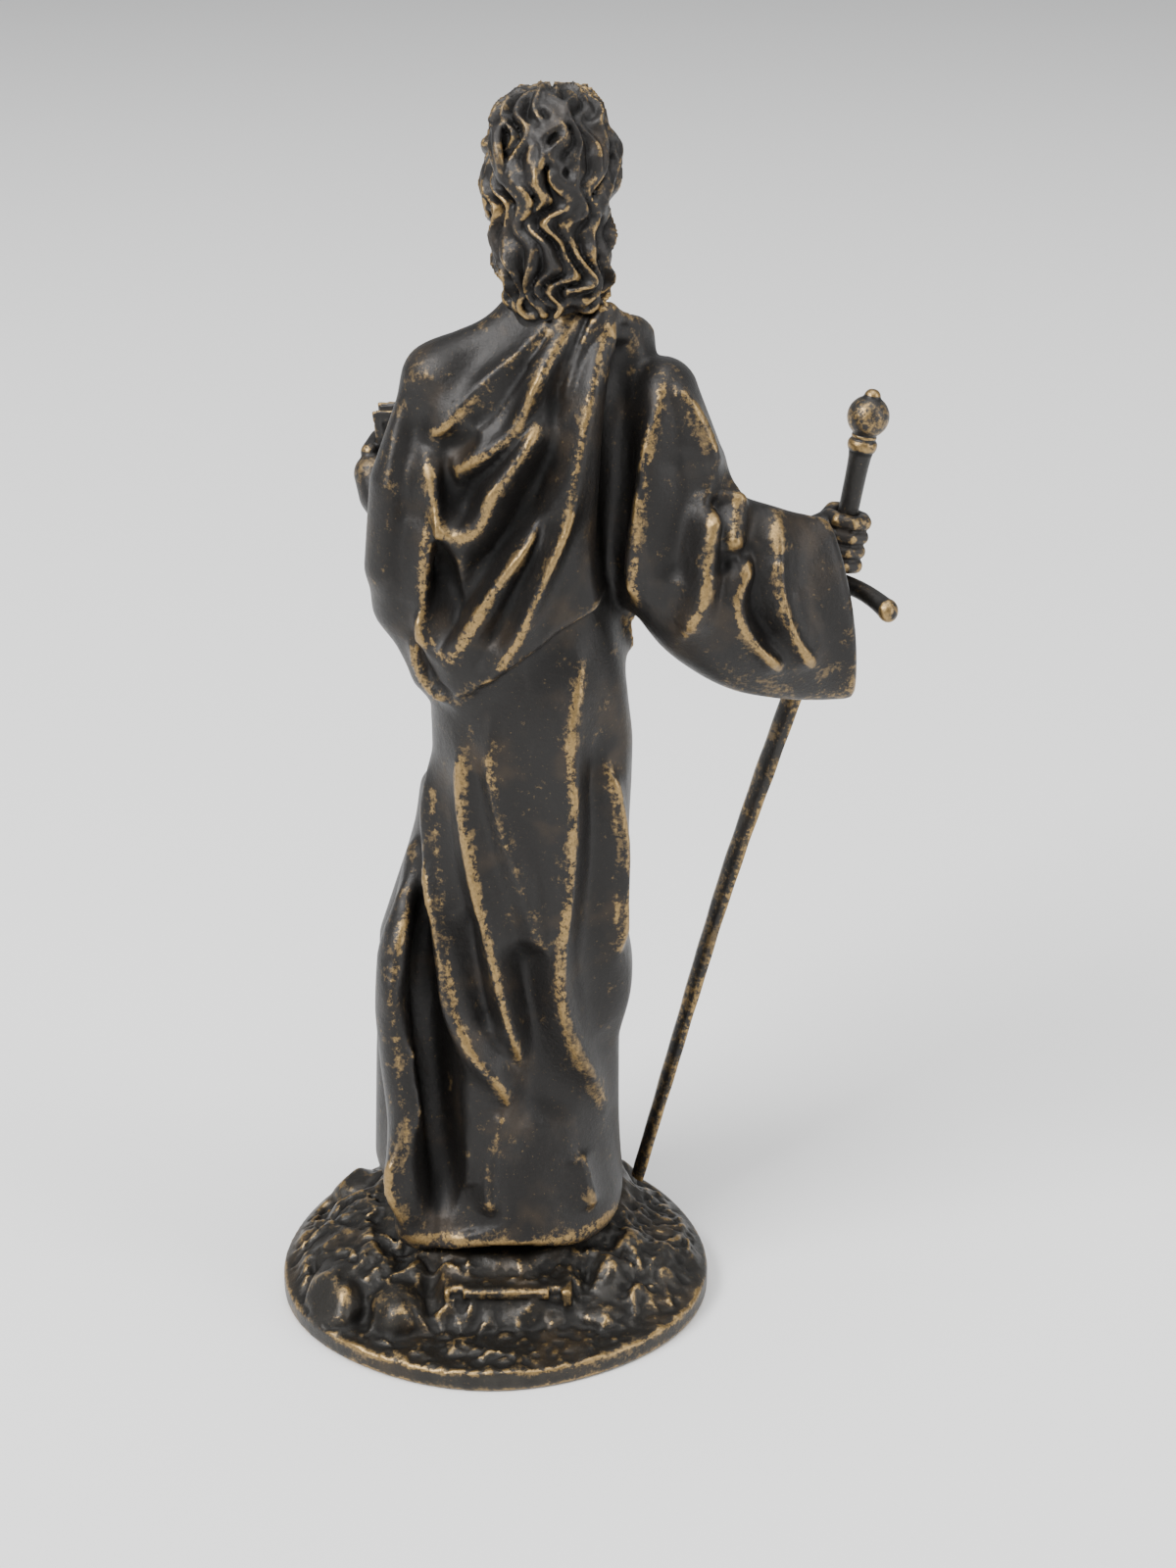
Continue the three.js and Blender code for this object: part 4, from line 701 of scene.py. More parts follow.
def hair_relief(q):
    a, b, c = (q - SKULL_MIDDLE).T
    a = a - HAIR_LEAN * np.clip(-q[:, 2] / 20, 0, 1)
    azimuth = np.arctan2(a, -b)
    level = np.hypot(a, b)
    length = np.where(c > 0, SKULL[2] * np.arctan2(level, c), SKULL[2] * pi / 2 - c)
    swing = 0.15 * np.sin(0.5 * length + 0.9 * np.sin(2 * azimuth + 1) + 0.6 * np.sin(3 * azimuth + 2))
    swing += 0.05 * np.sin(0.93 * length + 1.2 * np.sin(2 * azimuth + 2))
    swing *= smoothstep(0, 6, length)
    phase = (azimuth + swing) * HAIR_STRANDS / (2 * pi) + 0.25 * np.sin(0.4 * length + 2 * azimuth)
    number = np.round(phase)
    own = np.modf(np.abs(np.sin(number * 12.9 + 3) * 437.5))[0]
    across = np.cos(pi * (phase - number)) ** 2
    strength = 0.55 + 0.45 * np.sin(0.42 * length + 6.28 * own)
    fine = np.cos(3 * pi * 2 * phase) * 0.12
    room = smoothstep(0.5, 2.4, 2 * pi * level / HAIR_STRANDS)
    clump = np.sin(6 * (azimuth + swing) + 1.5 * np.sin(0.3 * length + azimuth)) * np.cos(0.27 * length)
    face = smoothstep(2, 7, q[:, 1]) * (1 - smoothstep(7, 11, q[:, 2]))
    shown = (1 - face) * smoothstep(-24, -20, q[:, 2])
    strand = (STRAND_HEIGHT * across ** 0.65 * (0.35 + strength) + fine) * room
    return shown * (strand + CLUMP_HEIGHT * clump - HAIR_SINK)


# Thicker locks that stand out over the strands, in tiers round the head: their count, start and end angles,
# radius, wave and distance from the face. Then small rough curls on the nape.
HAIR_TIERS = [
    (4, 1.4, 2.3, 1.3, 0.16, 1.2),
    (5, 0.8, 1.6, 1.4, 0.18, 0.9),
    (3, 0.25, 1.0, 1.4, 0.25, 0.6),
]
NAPE_CURLS = 9
CROWN_LIFT = 0.8


def hair_locks():
    locks = []
    for tier, (count, start, end, radius, wave, front) in enumerate(HAIR_TIERS):
        for i in range(count):
            share = (i + 0.3 + 0.4 * chance(i + 7 * tier)) / count
            azimuth = front + share * 2 * (pi - front)
            seed = tier * 31 + i
            locks += skull_lock(azimuth, start, end + 0.3 * chance(seed + 7), wave, radius, seed)
    for i in range(NAPE_CURLS):
        a = -9 + 18 * i / (NAPE_CURLS - 1)
        middle = np.array([a - 2.2, -9 + 0.06 * a * a, -19.5 - 3 * chance(i + 300)])
        start = 6.28 * chance(i + 320)
        wide = 1.2 + chance(i + 340)
        curl = []
        for n in range(8):
            angle = start + 0.7 * n
            turn = [wide * cos(angle), -0.12 * n, wide * sin(angle)]
            curl.append([*(middle + turn), 0.9 - 0.05 * n])
        locks.append(limb(*curl))
    return locks


def beard_locks():
    locks = []
    rows = [(9, 8.8, -6.5, 12, 8.6), (7, 6.8, -9.5, 13, 10.6), (5, 4.4, -12, 13.5, 12.2)]
    for row, (count, spread, top, length, forward) in enumerate(rows):
        for i in range(count):
            a = -spread + 2 * spread * i / (count - 1)
            phase = chance(row * 17 + i + 80)
            line = []
            for n in range(7):
                t = n / 6
                sway = 0.9 * sin(2 * pi * (t * 0.9 + phase))
                out = forward - 0.055 * a * a + 1.6 * sin(2.6 * t)
                line.append([a * (1 - 0.3 * t) + sway, out, top - length * t])
            locks += lock(line, 1.35)
    return locks


MOUSTACHE = mirrored(limb([0.5, 14.4, -7.3, 0.8], [3.4, 13.4, -8.6, 1.2], [6.4, 10.8, -12, 0.8]))
SMALL_FORMS = EYE_FORMS + [(strand, 0.9) for strand in hair_locks()]
SMALL_FORMS += [(strand, 0.4) for strand in beard_locks()] + [(MOUSTACHE, 0.5)]
neck = limb([-12.4, 0.8, 216, 9.2], [-12.4, 0.8, 240, 8.4])


def head(p):
    q = to_head(p)
    d = blend(empty(p), q, HAIR_MASSES) - hair_relief(q)
    d = trim(blend(d, q, FACE_FORMS), -EYE_HOLLOW(q), 1.4)
    return join(add(d, q, SMALL_FORMS), neck(p), 1.5)


# The sword's line: from its tip in the ground to the guard, then the grip, a little more upright.
def unit(v):
    return v / np.linalg.norm(v)


SWORD_TIP = from_layout([-31.3, -13.5, 15.6])
GUARD_CENTRE = from_layout([-72.4, -12.5, 164.3])
GRIP_END = from_layout([-77, -12.5, 192])
BLADE_LINE = unit(GUARD_CENTRE - SWORD_TIP)
GRIP_LINE = unit(GRIP_END - GUARD_CENTRE)
GUARD_ASIDE = np.array([-0.65, 0.76, 0])
GUARD_LINE = unit(GUARD_ASIDE - BLADE_LINE * (GUARD_ASIDE @ BLADE_LINE))

# The right hand: a fist round the grip.
HAND_CENTRE = GUARD_CENTRE + GRIP_LINE * GRIP_LENGTH * 0.315
HAND_ASIDE = np.array([-0.8, 0.6, 0])
HAND_OUT = unit(HAND_ASIDE - GRIP_LINE * (HAND_ASIDE @ GRIP_LINE))
HAND_FORWARD = np.cross(GRIP_LINE, HAND_OUT)
FINGER_RADIUS = 1.75


def round_grip(angle, radius, along):
    aside = HAND_OUT * cos(angle) + HAND_FORWARD * sin(angle)
    return to_layout(HAND_CENTRE + aside * radius + GRIP_LINE * along)


def right_hand_forms():
    forms = [(egg(round_grip(-2.3, 3.2, 0), [4.4, 4, 5.8]), 1)]
    forms.append((limb([-56, 0, 175, 4.8], [*round_grip(-2.4, 6, 0), 4.2]), 2))
    for i in range(4):
        along = -4.8 + 9.6 * i / 3
        nodes = []
        for angle, swell in ((-2.4, 1.0), (-1.5, 1.12), (-0.7, 0.95), (0.2, 1.08), (1.0, 0.92), (1.8, 0.9)):
            radius = GRIP_DIAMETER / 2 + FINGER_RADIUS * 0.9
            nodes.append([*round_grip(angle, radius, along), FINGER_RADIUS * swell * 0.92])
        forms.append((limb(*nodes), 0.35))
    thumb = [(-2.6, 4.6, 3, 2.1), (2.9, 4.4, 5.2, 1.8), (2.0, 4.2, 5.8, 1.5)]
    forms.append((limb(*([*round_grip(*place), swell] for *place, swell in thumb)), 0.6))
    return forms


RIGHT_HAND = right_hand_forms()


def right_hand(p):
    return add(empty(p), p, RIGHT_HAND, WIDE_FIELD)


# The left hand holds the closed book from below and outside.
LEFT_HAND = [
    (limb([20, -14, 177, 5.2], [24.5, -17.5, 182, 5], [26, -19.5, 186, 4.6]), 1),
    (egg([23.4, -23.6, 186], [4, 3.6, 6.5]), 1.5),
    (limb([27, -20.5, 190.5, 2.1], [25.6, -24.8, 192.5, 1.8], [20.5, -27, 193, 1.5]), 0.35),
    (limb([27.4, -20.5, 187, 2.2], [26, -25.2, 188.6, 1.85], [20, -27.4, 189, 1.55]), 0.35),
    (limb([27.4, -20.5, 183.6, 2.2], [26, -25.2, 184.6, 1.85], [20, -27.4, 184.8, 1.55]), 0.35),
    (limb([26.6, -20.5, 180.4, 2.1], [25.2, -25, 180.8, 1.75], [20.4, -27.2, 180.8, 1.4]), 0.35),
]
BOOK_CENTRE = np.array([16.4, -21.5, 189.0])
BOOK_TILT = (-0.16, 0.1, -0.2)


def turn_of(tilt):
    whole = np.eye(3)
    for axis, angle in enumerate(tilt):
        u, v = (axis + 1) % 3, (axis + 2) % 3
        turn = np.eye(3)
        turn[u, u] = turn[v, v] = cos(angle)
        turn[v, u], turn[u, v] = sin(angle), -sin(angle)
        whole = whole @ turn
    return whole


def slab(q, half, rounding):
    r = np.abs(q) - (np.array(half) - rounding)
    return np.linalg.norm(np.maximum(r, 0), axis=1) + np.minimum(r.max(1), 0) - rounding


def book(p):
    q = (p - BOOK_CENTRE) @ turn_of(BOOK_TILT)
    w, t, h = (v / 2 for v in BOOK_SIZE)
    pages = slab(q - [0.3, 0, 0], [w - 0.9, t - 0.7, h - 0.8], 0.3)
    cover, aside = [w, 0.45, h], [0, t - 0.45, 0]
    covers = np.minimum(slab(q - aside, cover, 0.3), slab(q + aside, cover, 0.3))
    spine = slab(q + [w - 0.6, 0, 0], [0.6, t, h], 0.5)
    border = np.abs(slab(q, [w - 2, t + 3, h - 2], 0.5)) - 0.35
    frame_line = np.maximum(border, slab(q, [w, t + 0.3, h], 0.2))
    return np.minimum(np.minimum(pages, covers), np.minimum(spine, frame_line))


def left_hand(p):
    return add(book(p), p, LEFT_HAND)


# An object from points in metres and faces.
def make_object(name, vertices, faces, smooth=True):
    mesh = bpy.data.meshes.new(name)
    mesh.vertices.add(len(vertices))
    mesh.vertices.foreach_set("co", np.asarray(vertices, np.float32).ravel())
    mesh.loops.add(faces.size)
    mesh.loops.foreach_set("vertex_index", faces.astype(np.int32).ravel())
    mesh.polygons.add(len(faces))
    mesh.polygons.foreach_set("loop_start", np.arange(0, faces.size, faces.shape[1], np.int32))
    mesh.polygons.foreach_set("use_smooth", np.full(len(faces), smooth))
    mesh.update(calc_edges=True)
    mesh.validate()
    piece = bpy.data.objects.new(name, mesh)
    bpy.context.scene.collection.objects.link(piece)
    return piece


# Several meshes of points and faces in one.
def merged(parts):
    offsets = np.cumsum([0] + [len(points) for points, _ in parts])
    faces = [faces + offset for (_, faces), offset in zip(parts, offsets)]
    return np.concatenate([points for points, _ in parts]), np.concatenate(faces)


def thin_out(piece, triangles):
    mesh = piece.data
    now = sum(len(face.vertices) - 2 for face in mesh.polygons)
    if now <= triangles:
        return
    modifier = piece.modifiers.new("thin", "DECIMATE")
    modifier.ratio = triangles / now
    evaluated = piece.evaluated_get(bpy.context.evaluated_depsgraph_get())
    thinned = bpy.data.meshes.new_from_object(evaluated)
    piece.modifiers.clear()
    piece.data = thinned
    thinned.name = piece.name
    bpy.data.meshes.remove(mesh)
    thinned.polygons.foreach_set("use_smooth", np.ones(len(thinned.polygons), bool))


def read(items, name, width, kind=float):
    values = np.empty(len(items) * width, kind)
    items.foreach_get(name, values)
    return values.reshape(-1, width)


# Stores how proud each point of a piece stands, closely (crest) and widely (form), for the wear.
PROUD_UNIT = 0.15
FORM_WEIGHT = 3
MOST_BY_SHAPE = 1.6
MOST_WORN = 1.3


def mark_crests(piece, fine, broad, robed=False):
    mesh = piece.data
    count = len(mesh.vertices)
    places = read(mesh.vertices, "co", 3) / MM
    normals = read(mesh.vertices, "normal", 3)
    a, b = read(mesh.edges, "vertices", 2, np.int32).T
    degree = np.maximum(np.bincount(a, minlength=count) + np.bincount(b, minlength=count), 1)

    def summed(at_a, at_b):
        return np.bincount(a, at_a, count) + np.bincount(b, at_b, count)

    def softened(values, rounds):
        for _ in range(rounds):
            total = np.column_stack([summed(column[b], column[a]) for column in values.T])
            values = 0.4 * values + 0.6 * total / degree[:, None]
        return values

    squared = ((places[a] - places[b]) ** 2).sum(1)
    spacing = softened(np.column_stack([summed(squared, squared) / degree] * 3), 6)[:, 0]
    near = softened(places, fine)
    far = softened(near, broad)
    for name, values, rounds in (("crest", near, fine), ("form", far, fine + broad)):
        proud = ((places - values) * normals).sum(1) / (PROUD_UNIT * rounds * spacing)
        if name == "form":
            proud *= FORM_WEIGHT
        elif robed:
            p = to_layout(places)
            proud = np.clip(proud, -MOST_BY_SHAPE, MOST_BY_SHAPE) * hair_wear(p)
            proud = np.maximum(proud, MOST_WORN * on_crests(p))
        attribute = mesh.attributes.new(name, "FLOAT", "POINT")
        attribute.data.foreach_set("value", np.clip(proud, -1, MOST_WORN).astype(np.float32))


# The figure: body, head, hands, book and feet, all one casting.
BODY_STEP = 0.75
DETAIL_STEP = 0.46
FIGURE_TRIANGLES = 190000
points, faces = merged([
    sculpt(clothed_body, [-84, -30, 14], [32, 30, 236], BODY_STEP, 5),
    sculpt(feet, [-26, -43, 15], [30, -4, 28], DETAIL_STEP, 3),
    sculpt(head, [-31, -22, 214], [7, 20, 273], DETAIL_STEP, 5),
    sculpt(right_hand, [-84, -24, 160], [-54, 6, 187], DETAIL_STEP, 3),
    sculpt(left_hand, [4, -32, 170], [34, -8, 204], DETAIL_STEP, 3),
])
figure = make_object("saint_visual", from_layout(points) * MM, faces)
thin_out(figure, FIGURE_TRIANGLES)
mark_crests(figure, 4, 40, robed=True)


# The sword: a turned grip and pommel, a turned guard and a flat tapering blade.
def rings_to_mesh(rings):
    rings = np.array(rings)
    count, sides = rings.shape[:2]
    here = np.arange(count * sides).reshape(count, sides)
    beside = np.roll(here, -1, axis=1)
    faces = np.stack([here[:-1], beside[:-1], beside[1:], here[1:]], -1)
    return rings.reshape(-1, 3), faces.reshape(-1, 4)


def turned(profile, centre, line, sides=40, bow=0.0):
    across = unit(np.cross(line, GUARD_LINE if abs(GUARD_LINE @ line) < 0.9 else BLADE_LINE))
    axes = np.array([np.cross(across, line), across, line])
    angles = np.linspace(0, 2 * pi, sides, endpoint=False)
    rings = []
    for radius, height in profile:
        ring = np.column_stack([radius * np.cos(angles), radius * np.sin(angles), np.full(sides, height)])
        bent = bow * sin(pi * max(height, 0) / profile[-1][1])
        rings.append(ring @ axes + centre + BLADE_LINE * bent)
    return rings_to_mesh(rings)


def softened_profile(points, rounds=2):
    points = np.array(points, float)
    for _ in range(rounds):
        q = points[:-1] * 0.75 + points[1:] * 0.25
        r = points[:-1] * 0.25 + points[1:] * 0.75
        points = np.concatenate([points[:1], np.stack([q, r], 1).reshape(-1, 2), points[-1:]])
    return points


def grip_profile():
    r, p, neck_at = GRIP_DIAMETER / 2, POMMEL_DIAMETER / 2, GRIP_LENGTH
    ball = neck_at + 3.2
    points = [[0.01, -1], [r, -1], [r * 0.94, neck_at * 0.5], [r, neck_at - 1], [r * 1.35, neck_at],
              [r * 1.4, neck_at + 1.4], [r * 1.1, neck_at + 2.2], [r * 1.2, neck_at + 2.8]]
    for i in range(9):
        angle = -0.98 + 2.13 * i / 8
        points.append([p * cos(angle), ball + p * 0.84 + p * sin(angle)])
    top = points[-1][1]
    return softened_profile(points + [[p * 0.36, top + 1], [p * 0.2, top + 1.7], [0.01, top + 1.8]])


def guard_profile():
    r, end = GUARD_THICKNESS / 2, GUARD_SPAN / 2
    return softened_profile([[0.01, -1], [r * 1.05, -1], [r * 0.9, end * 0.35], [r * 0.98, end - r * 1.8],
                             [r * 1.2, end - r * 1.0], [r * 0.85, end - r * 0.25], [0.01, end]])


# The corners of half the blade's section; the other half is the same, turned about.
BLADE_CORNERS = [(0.5, 0), (0.4, 0.3), (0.22, 0.5), (-0.22, 0.5), (-0.4, 0.3)]


def blade_mesh(steps=150):
    length = np.linalg.norm(GUARD_CENTRE - SWORD_TIP)
    u, v = np.array(BLADE_CORNERS + [(-u, -v) for u, v in BLADE_CORNERS]).T
    across = unit(np.cross(BLADE_LINE, GUARD_LINE))
    rings = []
    for i in range(steps + 1):
        t = i / steps
        bow = (BLADE_BOW + 0.25 * sin(t * 9)) * sin(pi * t)
        rough = 1 + 0.05 * sin(t * 61) * sin(t * 23 + 1)
        width = (BLADE_TIP_WIDTH + (BLADE_WIDTH - BLADE_TIP_WIDTH) * t) * rough
        thick = BLADE_THICKNESS * (0.75 + 0.25 * t)
        centre = SWORD_TIP + BLADE_LINE * length * t + GUARD_LINE * bow
        rings.append(centre + np.outer(u * width, GUARD_LINE) + np.outer(v * thick, across))
    return rings_to_mesh(rings)


points, faces = merged([blade_mesh(), turned(grip_profile(), GUARD_CENTRE, GRIP_LINE)] + [
    turned(guard_profile(), GUARD_CENTRE, side * GUARD_LINE, 28, GUARD_BOW) for side in (1, -1)
])
sword = make_object("sword_visual", points * MM, faces)
mark_crests(sword, 3, 8)

# The base: rough rock with boulders and the squared block, on a plain round rim.
RADIUS = BASE_DIAMETER / 2


def wobble(angle):
    return 1 + 0.012 * np.cos(2 * angle + 0.6) + 0.01 * np.cos(3 * angle - 1.9) + 0.008 * np.sin(5 * angle)


# Broken rock: curling ridges of several sizes, each with its width and height.
ROCK_SIZES = [(8.5, 3.2), (4.2, 2.2), (2.1, 1.1), (1.1, 0.45)]


def rock(x, y):
    total = np.zeros_like(x)
    bend = 2.6 * hills(x / 5.5 + 31, y / 5.5 + 17)
    for n, (width, height) in enumerate(ROCK_SIZES):
        u = (x * cos(n * 0.9) - y * sin(n * 0.9) + bend) / width + 11 * n
        v = (x * sin(n * 0.9) + y * cos(n * 0.9) - bend) / width - 7 * n
        total += height * (0.55 - np.abs(2 * hills(u, v) - 1))
    return total


# Boulders: x and y as shares of the radius, z, and half sizes.
BOULDERS = [
    (0.71, 0.42, 6.4, (7.2, 10.4, 6.2)),
    (0.43, 0.56, 6.6, (5.8, 7.4, 5.8)),
    (0.64, 0.12, 8, (10.4, 11.4, 4.6)),
    (-0.66, 0.16, 7.5, (7.6, 8.6, 3.4)),
    (-0.5, 0.52, 6, (5.6, 5.6, 2.4)),
    (0.66, -0.42, 8.5, (7.6, 6.6, 5)),
    (-0.56, -0.56, 8.5, (6, 5.6, 4.8)),
]
STONES = [egg([x * RADIUS, y * RADIUS, z], half) for x, y, z, half in BOULDERS]
BLOCK_HALF = np.array([BLOCK_WIDTH, BLOCK_DEPTH, BLOCK_HEIGHT]) / 2
BLOCK_AT = np.array([-0.08, 0.59, 0]) * RADIUS + BLOCK_HALF * [0, -1, 1]
PANEL_HALF = np.array([BLOCK_HALF[0] - 2.4, 1.0, 2.3])
LINE_PITCH = 1.2
BASE_STEP = 0.62
BASE_TRIANGLES = 170000


def ground(x, y):
    out = np.hypot(x, y) / RADIUS / wobble(np.arctan2(y, x))
    crown = GROUND_HEIGHT - 3 + (RIM_HEIGHT + 0.8 - GROUND_HEIGHT + 3) * smoothstep(0.6, 0.99, out)
    back = np.where(y > 0, 4 * smoothstep(0.3, 0.65, y / RADIUS), 0)
    edge = 1 - smoothstep(0.9, 0.99, out)
    beside = np.abs(x - BLOCK_AT[0])
    dip = 5 * np.exp(-((y - 33) / 4.5) ** 2) * (1 - smoothstep(13, 19, beside))
    dip += 2.6 * np.exp(-((beside - 17.5) / 2.2) ** 2) * smoothstep(14, 20, y)
    lowest = RIM_HEIGHT - 0.2 + 1.3 * hills(x / 3.1, y / 3.1) * hills(x / 1.3, y / 1.3)
    height = np.clip(crown - back - dip + rock(x, y) * edge, lowest, GROUND_HEIGHT - 0.6)
    standing = 1 - smoothstep(0.98, 1.16, np.hypot((x + 2) / 27.5, (y + 13.5) / 32))
    return height + (GROUND_HEIGHT - height) * standing


def base_form(p):
    x, y, z = p.T
    d = (z - ground(x, y)) * 0.75
    for seed, stone in enumerate(STONES, 1):
        close = np.all((p > stone.low - 3) & (p < stone.high + 3), axis=1)
        u, v, w = p[close].T
        bumps = 0.5 * np.sin(0.6 * u + seed) * np.sin(0.7 * v + 2 * seed) * np.sin(0.6 * w + seed)
        bumps += 0.3 * hills(u / 1.6 + seed, (v + w) / 1.6)
        d[close] = join(d[close], stone(p[close]) - bumps, 1.4)
    q = p - BLOCK_AT
    chips = 0.35 * hills(x / 2.3, (y + z) / 2.3) + 0.2 * hills(x / 0.9, (y + z) / 0.9)
    block = slab(q, BLOCK_HALF, 0.9) + chips
    front = q - [0, BLOCK_HALF[1], 1.6]
    block = trim(block, -slab(front, PANEL_HALF, 0.3), 0.3)
    row = front[:, 2]
    strokes = np.abs(np.mod(row + LINE_PITCH, LINE_PITCH) - LINE_PITCH / 2) - 0.28
    strokes = strokes + 0.5 * hills(x / 1.3, np.floor(row / LINE_PITCH) * 5)
    written = slab(front + [0, 1.0, 0], PANEL_HALF * [0.9, 0.6, 0.8], 0.2)
    block = join(block, np.maximum(strokes, written), 0.2)
    for aside in (-0.72, 0.8):
        notch = q - (BLOCK_HALF * [aside, 1, 1] - [0, 0, 1])
        block = trim(block, -slab(notch, [1.4, 1.6, 1.6], 0.4), 0.3)
    d = join(d, block, 0.6)
    rim = np.hypot(x, y) - RADIUS * wobble(np.arctan2(y, x))
    rim = np.maximum(rim, rim + (z - RIM_HEIGHT) * 0.8)
    rim = np.maximum(rim, rim + 0.5 - z)
    d = trim(d, rim, 0.7)
    d = np.maximum(d, z - GROUND_HEIGHT)
    return np.maximum(d, -z)


points, faces = sculpt(base_form, [-51.1, -51.1, -2.1], [51, 51, 18], BASE_STEP, 3)
base = make_object("rocky_base_visual", points * MM, faces)
thin_out(base, BASE_TRIANGLES)
mark_crests(base, 4, 20)


# Bronze: a dark patina that is rubbed through to bright metal where the metal stands proud.
GOLD = (0.3, 0.2, 0.085)
WEAR_EDGE = 0.24
BUMP_HEIGHT = 0.0004


def bronze(name, dark, warm, rub, polish):
    material = bpy.data.materials.new(name)
    material.use_nodes = True
    nodes, links = material.node_tree.nodes, material.node_tree.links
    nodes.clear()

    def node(kind, inputs, **settings):
        made = nodes.new(kind)
        for key, value in settings.items():
            setattr(made, key, value)
        for key, value in inputs.items():
            if isinstance(value, bpy.types.NodeSocket):
                links.new(value, made.inputs[key])
            else:
                made.inputs[key].default_value = value
        return made

    def reckon(operation, a, b):
        return node("ShaderNodeMath", {0: a, 1: b}, operation=operation).outputs[0]

    def plus(a, b):
        return reckon("ADD", a, b)

    def times(a, b):
        return reckon("MULTIPLY", a, b)

    def swing(value, weight):
        return times(reckon("SUBTRACT", value, 0.5), weight)

    def noise(scale, detail, rough, stretch=(1, 1, 1)):
        mapping = node("ShaderNodeMapping", {"Scale": stretch, "Vector": coords})
        return node("ShaderNodeTexNoise", {
            "Scale": scale, "Detail": detail, "Roughness": rough, "Vector": mapping.outputs[0],
        }).outputs["Fac"]

    def ramp(value, low, high):
        limits = {"Value": value, "From Min": low, "From Max": high}
        return node("ShaderNodeMapRange", limits, interpolation_type="SMOOTHSTEP").outputs["Result"]

    def mix(share, a, b):
        return node("ShaderNodeMix", {"Factor": share, 6: a, 7: b}, data_type="RGBA").outputs[2]

    def tint(color, share=1):
        return (*(v * share for v in color), 1)

    coords = node("ShaderNodeTexCoord", {}).outputs["Object"]
    crest = node("ShaderNodeAttribute", {}, attribute_name="crest").outputs["Fac"]
    form = node("ShaderNodeAttribute", {}, attribute_name="form").outputs["Fac"]
    flakes = noise(900, 6, 0.72)
    cloud = noise(70, 3, 0.6)
    streak = noise(260, 4, 0.6, (1, 1, 0.3))
    specks = noise(1500, 3, 0.7)
    patch = noise(190, 3, 0.6)
    pores = noise(420, 4, 0.6)

    standing = plus(times(crest, 0.62), times(form, 0.3))
    patchy = plus(plus(plus(standing, swing(flakes, 1.7)), swing(cloud, 0.8)), swing(patch, 0.7))
    worn = ramp(patchy, rub, rub + WEAR_EDGE)
    thin = plus(plus(times(flakes, 0.6), times(patch, 0.5)), times(standing, 0.2))
    dusted = ramp(plus(times(streak, 0.8), times(form, 0.25)), 0.42, 0.75)
    deep = ramp(times(plus(crest, form), -1), 0.12, 0.9)
    pitted = plus(times(ramp(specks, 0.38, 0.56), 0.45), 0.5)

    color = mix(dusted, tint(dark), tint(dark, 1.8))
    for cover, tone in (
        (times(ramp(cloud, 0.5, 0.72), 0.55), tint(warm)),
        (times(deep, 0.75), tint(dark, 0.35)),
        (times(ramp(specks, 0.66, 0.72), 0.5), tint(GOLD, 0.55)),
        (times(ramp(thin, 0.635, 0.74), 0.5), tint(GOLD, 0.7)),
        (times(worn, pitted), tint(GOLD)),
    ):
        color = mix(cover, color, tone)

    sheen = plus(plus(times(cloud, 0.16), polish), times(deep, 0.25))
    height = plus(flakes, times(pores, 0.8))
    relief = node("ShaderNodeBump", {"Strength": 0.35, "Distance": BUMP_HEIGHT, "Height": height})
    shader = node("ShaderNodeBsdfPrincipled", {
        "Base Color": color,
        "Metallic": plus(times(worn, 0.4), 0.5),
        "Roughness": reckon("SUBTRACT", sheen, times(worn, 0.06)),
        "Normal": relief.outputs[0],
    })
    node("ShaderNodeOutputMaterial", {"Surface": shader.outputs[0]})
    return material


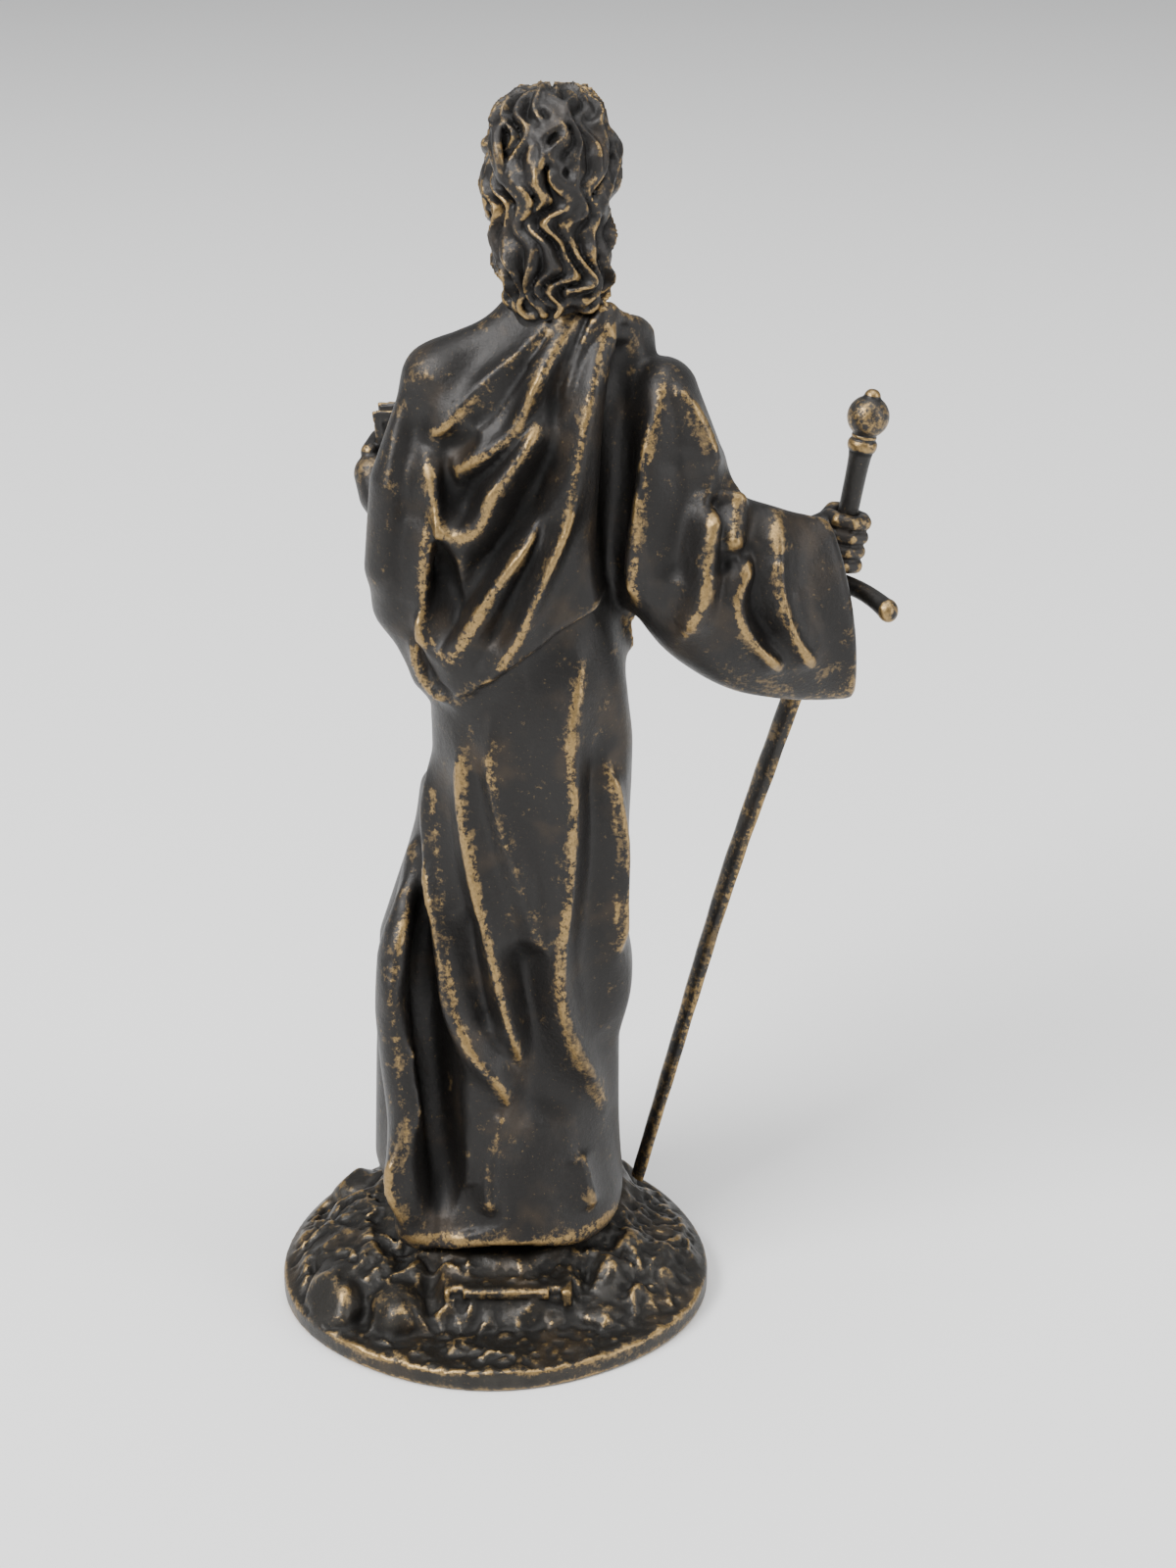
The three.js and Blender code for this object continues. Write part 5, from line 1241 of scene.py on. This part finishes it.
# Each piece with its node, its slot, its dark and warm tones, its wear limit and its polish.
for piece, cad_node, slot, dark, warm, rub, polish in (
    (figure, "saint_figure", "figure_bronze", (0.0115, 0.0102, 0.0094), (0.045, 0.031, 0.019), 0.62, 0.34),
    (base, "rocky_base", "base_bronze", (0.014, 0.0122, 0.0098), (0.05, 0.034, 0.018), 0.66, 0.32),
    (sword, "sword", "sword_bronze", (0.015, 0.0136, 0.0122), (0.05, 0.036, 0.024), 0.62, 0.3),
):
    piece.data.materials.clear()
    piece.data.materials.append(bronze(slot, dark, warm, rub, polish))
    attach(piece, "root")
    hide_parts(cad_node)


# The floor, pale and plain.
FLOOR_HALF = 9.0
FLOOR_DROP = 0.0002


def set_up(owner, node, inputs):
    owner.use_nodes = True
    for name, value in inputs.items():
        owner.node_tree.nodes[node].inputs[name].default_value = value


corners = np.array([[-1, -1, 0], [1, -1, 0], [1, 1, 0], [-1, 1, 0]]) * FLOOR_HALF - [0, 0, FLOOR_DROP]
floor = make_object("floor", corners, np.array([[0, 1, 2, 3]]), smooth=False)
pale = bpy.data.materials.new("pale_floor")
set_up(pale, "Principled BSDF", {"Base Color": (0.8, 0.8, 0.795, 1), "Roughness": 0.85})
floor.data.materials.append(pale)


# Light: a large soft panel above and to the left, one overhead, a weak one to the right, and a pale room.
MIDDLE = (-0.015, 0, 0.13)


def panel(name, place, size, power):
    light = bpy.data.lights.new(name, "AREA")
    light.shape = "RECTANGLE"
    light.size, light.size_y = size
    light.energy = power
    lamp = bpy.data.objects.new(name, light)
    bpy.context.scene.collection.objects.link(lamp)
    lamp.location = place
    lamp.rotation_euler = (Vector(MIDDLE) - Vector(place)).to_track_quat("-Z", "Y").to_euler()


panel("key", (1.5, 1.2, 1.9), (1.3, 1.0), 104)
panel("top", (-0.2, 0.2, 2.6), (2.0, 2.0), 60)
panel("side", (-2.2, 1.0, 1.0), (0.8, 1.8), 34)

world = bpy.data.worlds.new("pale_room")
bpy.context.scene.world = world
set_up(world, "Background", {"Color": (0.86, 0.87, 0.88, 1), "Strength": 0.64})

# The camera, at the photograph's viewing angle.
camera_data = bpy.data.cameras.new("camera")
camera = bpy.data.objects.new("camera", camera_data)
bpy.context.scene.collection.objects.link(camera)
camera.location = (-0.0216, 0.509, 0.332)
camera.rotation_euler = (radians(90 - 22.33), 0, radians(180))
camera_data.lens = 58.5
camera_data.sensor_width = 36
camera_data.clip_start = 0.01
bpy.context.scene.camera = camera
